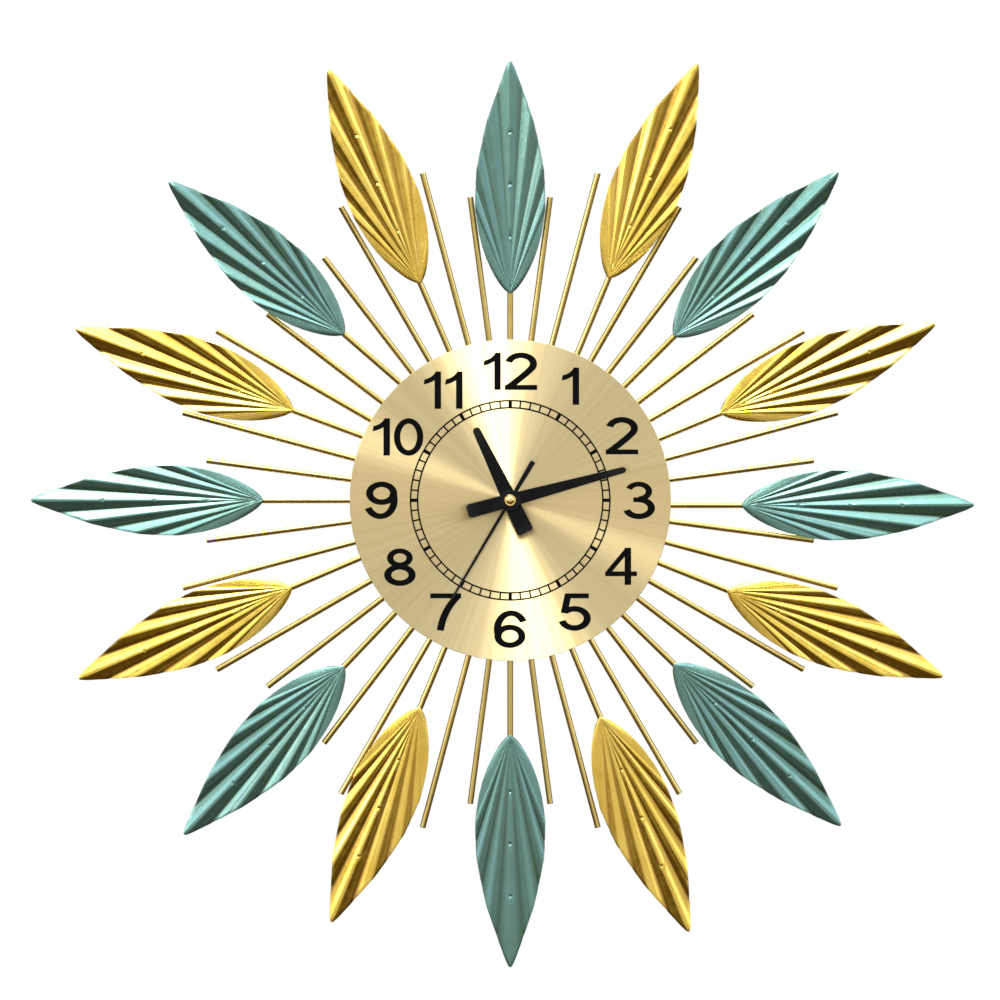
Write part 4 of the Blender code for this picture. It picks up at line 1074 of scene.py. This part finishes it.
def add_battery():
    """The cell: a plain wrapped can with rolled ends and a steel nub."""
    low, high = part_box("battery")
    radius = (high.z - low.z) / 2
    half = (high.x - low.x) / 2
    shoulder = half - NUB_LENGTH
    turn = [90 * i / 4 for i in range(5)]
    profile = [(0.0, half), (NUB_RADIUS - NUB_ROUNDING, half), (NUB_RADIUS, half - NUB_ROUNDING)]
    profile += [(NUB_RADIUS, shoulder), (radius - 3 * CAN_ROUNDING, shoulder - CAN_ROUNDING / 2)]
    profile += [along(a, CAN_ROUNDING, (radius - CAN_ROUNDING, shoulder - CAN_ROUNDING)) for a in turn]
    profile += [along(90 + a, CAN_ROUNDING, (radius - CAN_ROUNDING, CAN_ROUNDING - half)) for a in turn]
    profile += [(radius - 3 * CAN_ROUNDING, CAN_ROUNDING / 2 - half), (0.0, CAN_ROUNDING / 2 - half)]
    shape = lathe(profile, CAN_SIDES)
    middle = (low + high) / 2
    lying = Matrix.Rotation(math.radians(90), 4, "Y")
    turn_over = Matrix.Translation((middle.x, middle.z, -middle.y)) @ lying
    move(shape, turn_over)
    add_piece("battery_finished", shape, WRAP, "battery", ("battery",))


def add_movement():
    """The movement's case and fittings, with moulded and pressed edges."""
    add_rounded("movement_front_case", CASE, "clock", MOULD_ROUNDING)
    add_rounded("movement_back_cover", CASE, "clock", MOULD_ROUNDING)
    add_rounded("hanger_bracket", ZINC, "clock", HANGER_ROUNDING, 3)
    add_rounded("shaft_nut", NUT_BRASS, "clock", NUT_ROUNDING)
    add_rounded("gasket", RUBBER, "clock", GASKET_ROUNDING, 2, GASKET_EDGE_LEAST)
    add_rounded("setting_knob", ACETAL, "knob", KNOB_ROUNDING)


def dress(finish, *names):
    """Gives CAD nodes whose shapes stay their finish."""
    for name in names:
        for slot in nodes[name].material_slots:
            slot.material = finish


# ------------------------ stage, light and camera


def add_floor():
    shape = bmesh.new()
    bmesh.ops.create_grid(shape, x_segments=1, y_segments=1, size=FLOOR_HALF)
    floor = to_object("studio_floor", shape)
    floor.location.z = FLOOR_LEVEL
    floor.visible_glossy = False
    finish = Finish("pale_floor", (0.80, 0.79, 0.77), 0.0, 0.7)
    mottle = finish.between(finish.noise(3.0), 0.0, 1.0)
    finish.paint(mottle, (0.79, 0.78, 0.76), (0.82, 0.81, 0.79))
    floor.data.materials.append(finish.material)


def add_light(name, azimuth, elevation, size, power):
    """A soft panel that looks at the clock: azimuth clockwise from 12 as seen from in front."""
    light = bpy.data.lights.new(name, "AREA")
    light.shape = "RECTANGLE"
    light.size, light.size_y = size
    light.energy = power
    lamp = bpy.data.objects.new(name, light)
    aside, up = along(azimuth, math.sin(math.radians(elevation)))
    place = Vector((aside, -math.cos(math.radians(elevation)), up)) * LIGHT_DISTANCE
    upward = Vector(along(azimuth, 1.0))
    back = place.normalized()
    radial = Vector((upward.x, 0.0, upward.y))
    side = radial.cross(back).normalized()
    turned = Matrix((side, back.cross(side), back)).transposed().to_4x4()
    lamp.matrix_world = Matrix.Translation(place) @ turned
    bpy.context.scene.collection.objects.link(lamp)


def add_world():
    """A studio seen by the clock only: bright overhead, dark below and beside, pale ahead and behind."""
    world = bpy.data.worlds.new("studio")
    bpy.context.scene.world = world
    world.use_nodes = True
    tree = world.node_tree
    tree.nodes.clear()

    def node(kind, inputs=None, **settings):
        return add_node(tree, kind, inputs, **settings)

    def ease(value, span, ends):
        """The value's span, mapped smoothly to run from one end to the other."""
        inputs = {"Value": value, "From Min": span[0], "From Max": span[1]}
        inputs.update({"To Min": ends[0], "To Max": ends[1]})
        return node("ShaderNodeMapRange", inputs, interpolation_type="SMOOTHSTEP").outputs["Result"]

    def larger(first, second):
        return node("ShaderNodeMath", {0: first, 1: second}, operation="MAXIMUM").outputs[0]

    def product(first, second):
        return node("ShaderNodeMath", {0: first, 1: second}, operation="MULTIPLY").outputs[0]

    def mixed(factor, first, second):
        mix = node("ShaderNodeMix", data_type="RGBA")
        tree.links.new(factor, mix.inputs["Factor"])
        tree.links.new(first, mix.inputs[6])
        mix.inputs[7].default_value = second
        return mix.outputs[2]

    direction = node("ShaderNodeTexCoord").outputs["Generated"]
    parts = node("ShaderNodeSeparateXYZ", {"Vector": direction})
    height, depth = parts.outputs["Z"], parts.outputs["Y"]
    level = node("ShaderNodeMapRange", {"Value": height, "From Min": -1.0, "From Max": 1.0}).outputs["Result"]
    ramp = node("ShaderNodeValToRGB", {"Fac": level})
    stops = ramp.color_ramp.elements
    while len(stops) > 1:
        stops.remove(stops[-1])
    stops[0].position, stops[0].color = 0.0, (*GROUND_GLOW, 1.0)
    for stop, colour in SKY_STOPS:
        stops.new((stop + 1) / 2).color = (*colour, 1.0)
    aside = node("ShaderNodeMath", {0: parts.outputs["X"]}, operation="ABSOLUTE").outputs[0]
    panel = product(ease(height, PANEL_HEIGHT, (0.0, 1.0)), ease(aside, PANEL_WIDTH, (1.0, 0.0)))
    rim = product(ease(depth, RIM_DEPTH, (0.0, RIM_SHARE)), ease(height, RIM_HEIGHT, (0.0, 1.0)))
    sky = mixed(larger(panel, rim), ramp.outputs["Color"], (*PANEL_GLOW, 1.0))
    ahead = ease(depth, FRONT_SPAN, (1.0, 0.0))
    behind = ease(depth, REAR_SPAN, (0.0, 1.0))
    strength = larger(ease(depth, SIDE_SPAN, (1.0, SIDE_SHARE)), behind)
    glow = mixed(larger(ahead, behind), sky, (*PALE_GLOW, 1.0))
    lit = node("ShaderNodeBackground", {"Color": glow, "Strength": strength})
    plain = node("ShaderNodeBackground", {"Color": (1.0, 1.0, 1.0, 1.0), "Strength": 1.0})
    seen = node("ShaderNodeLightPath").outputs["Is Camera Ray"]
    mix = node("ShaderNodeMixShader", {0: seen, 1: lit.outputs[0], 2: plain.outputs[0]})
    node("ShaderNodeOutputWorld", {"Surface": mix.outputs[0]})


def add_camera():
    camera = bpy.data.cameras.new("camera")
    camera.sensor_width = SENSOR
    camera.lens = SENSOR * CAMERA_DISTANCE / FRAME_WIDTH
    camera.clip_end = 4 * CAMERA_DISTANCE
    view = bpy.data.objects.new("camera", camera)
    view.location = (FRAME_CENTRE[0], -CAMERA_DISTANCE, FRAME_CENTRE[1])
    view.rotation_euler = (math.radians(90), 0.0, 0.0)
    bpy.context.scene.collection.objects.link(view)
    bpy.context.scene.camera = view


for leaf_index in range(LEAF_COUNT):
    add_leaf(leaf_index)
    add_stem(leaf_index)
add_ray_plate()
add_dial()
add_numerals()
add_minute_track()
add_hand("hour_hand", "hour", HAND_CORNER)
add_hand("minute_hand", "minute", HAND_CORNER)
add_hand("second_hand", "second", SECOND_HAND_CORNER)
add_cap()
add_bumpers()
add_battery()
add_movement()
dress(GEAR_BRASS, "second_wheel", "centre_wheel")
dress(ACETAL, "hour_wheel", "third_wheel", "fifth_wheel", "motion_wheel", "train_plate")
dress(MAGNET, "rotor")
dress(ZINC, "stator_plate")
dress(NICKEL, "contact_positive", "contact_negative")
dress(BOARD, "circuit_board")
dress(WINDING, "coil_bobbin")
add_floor()
add_world()
for panel_light in LIGHTS:
    add_light(*panel_light)
add_camera()
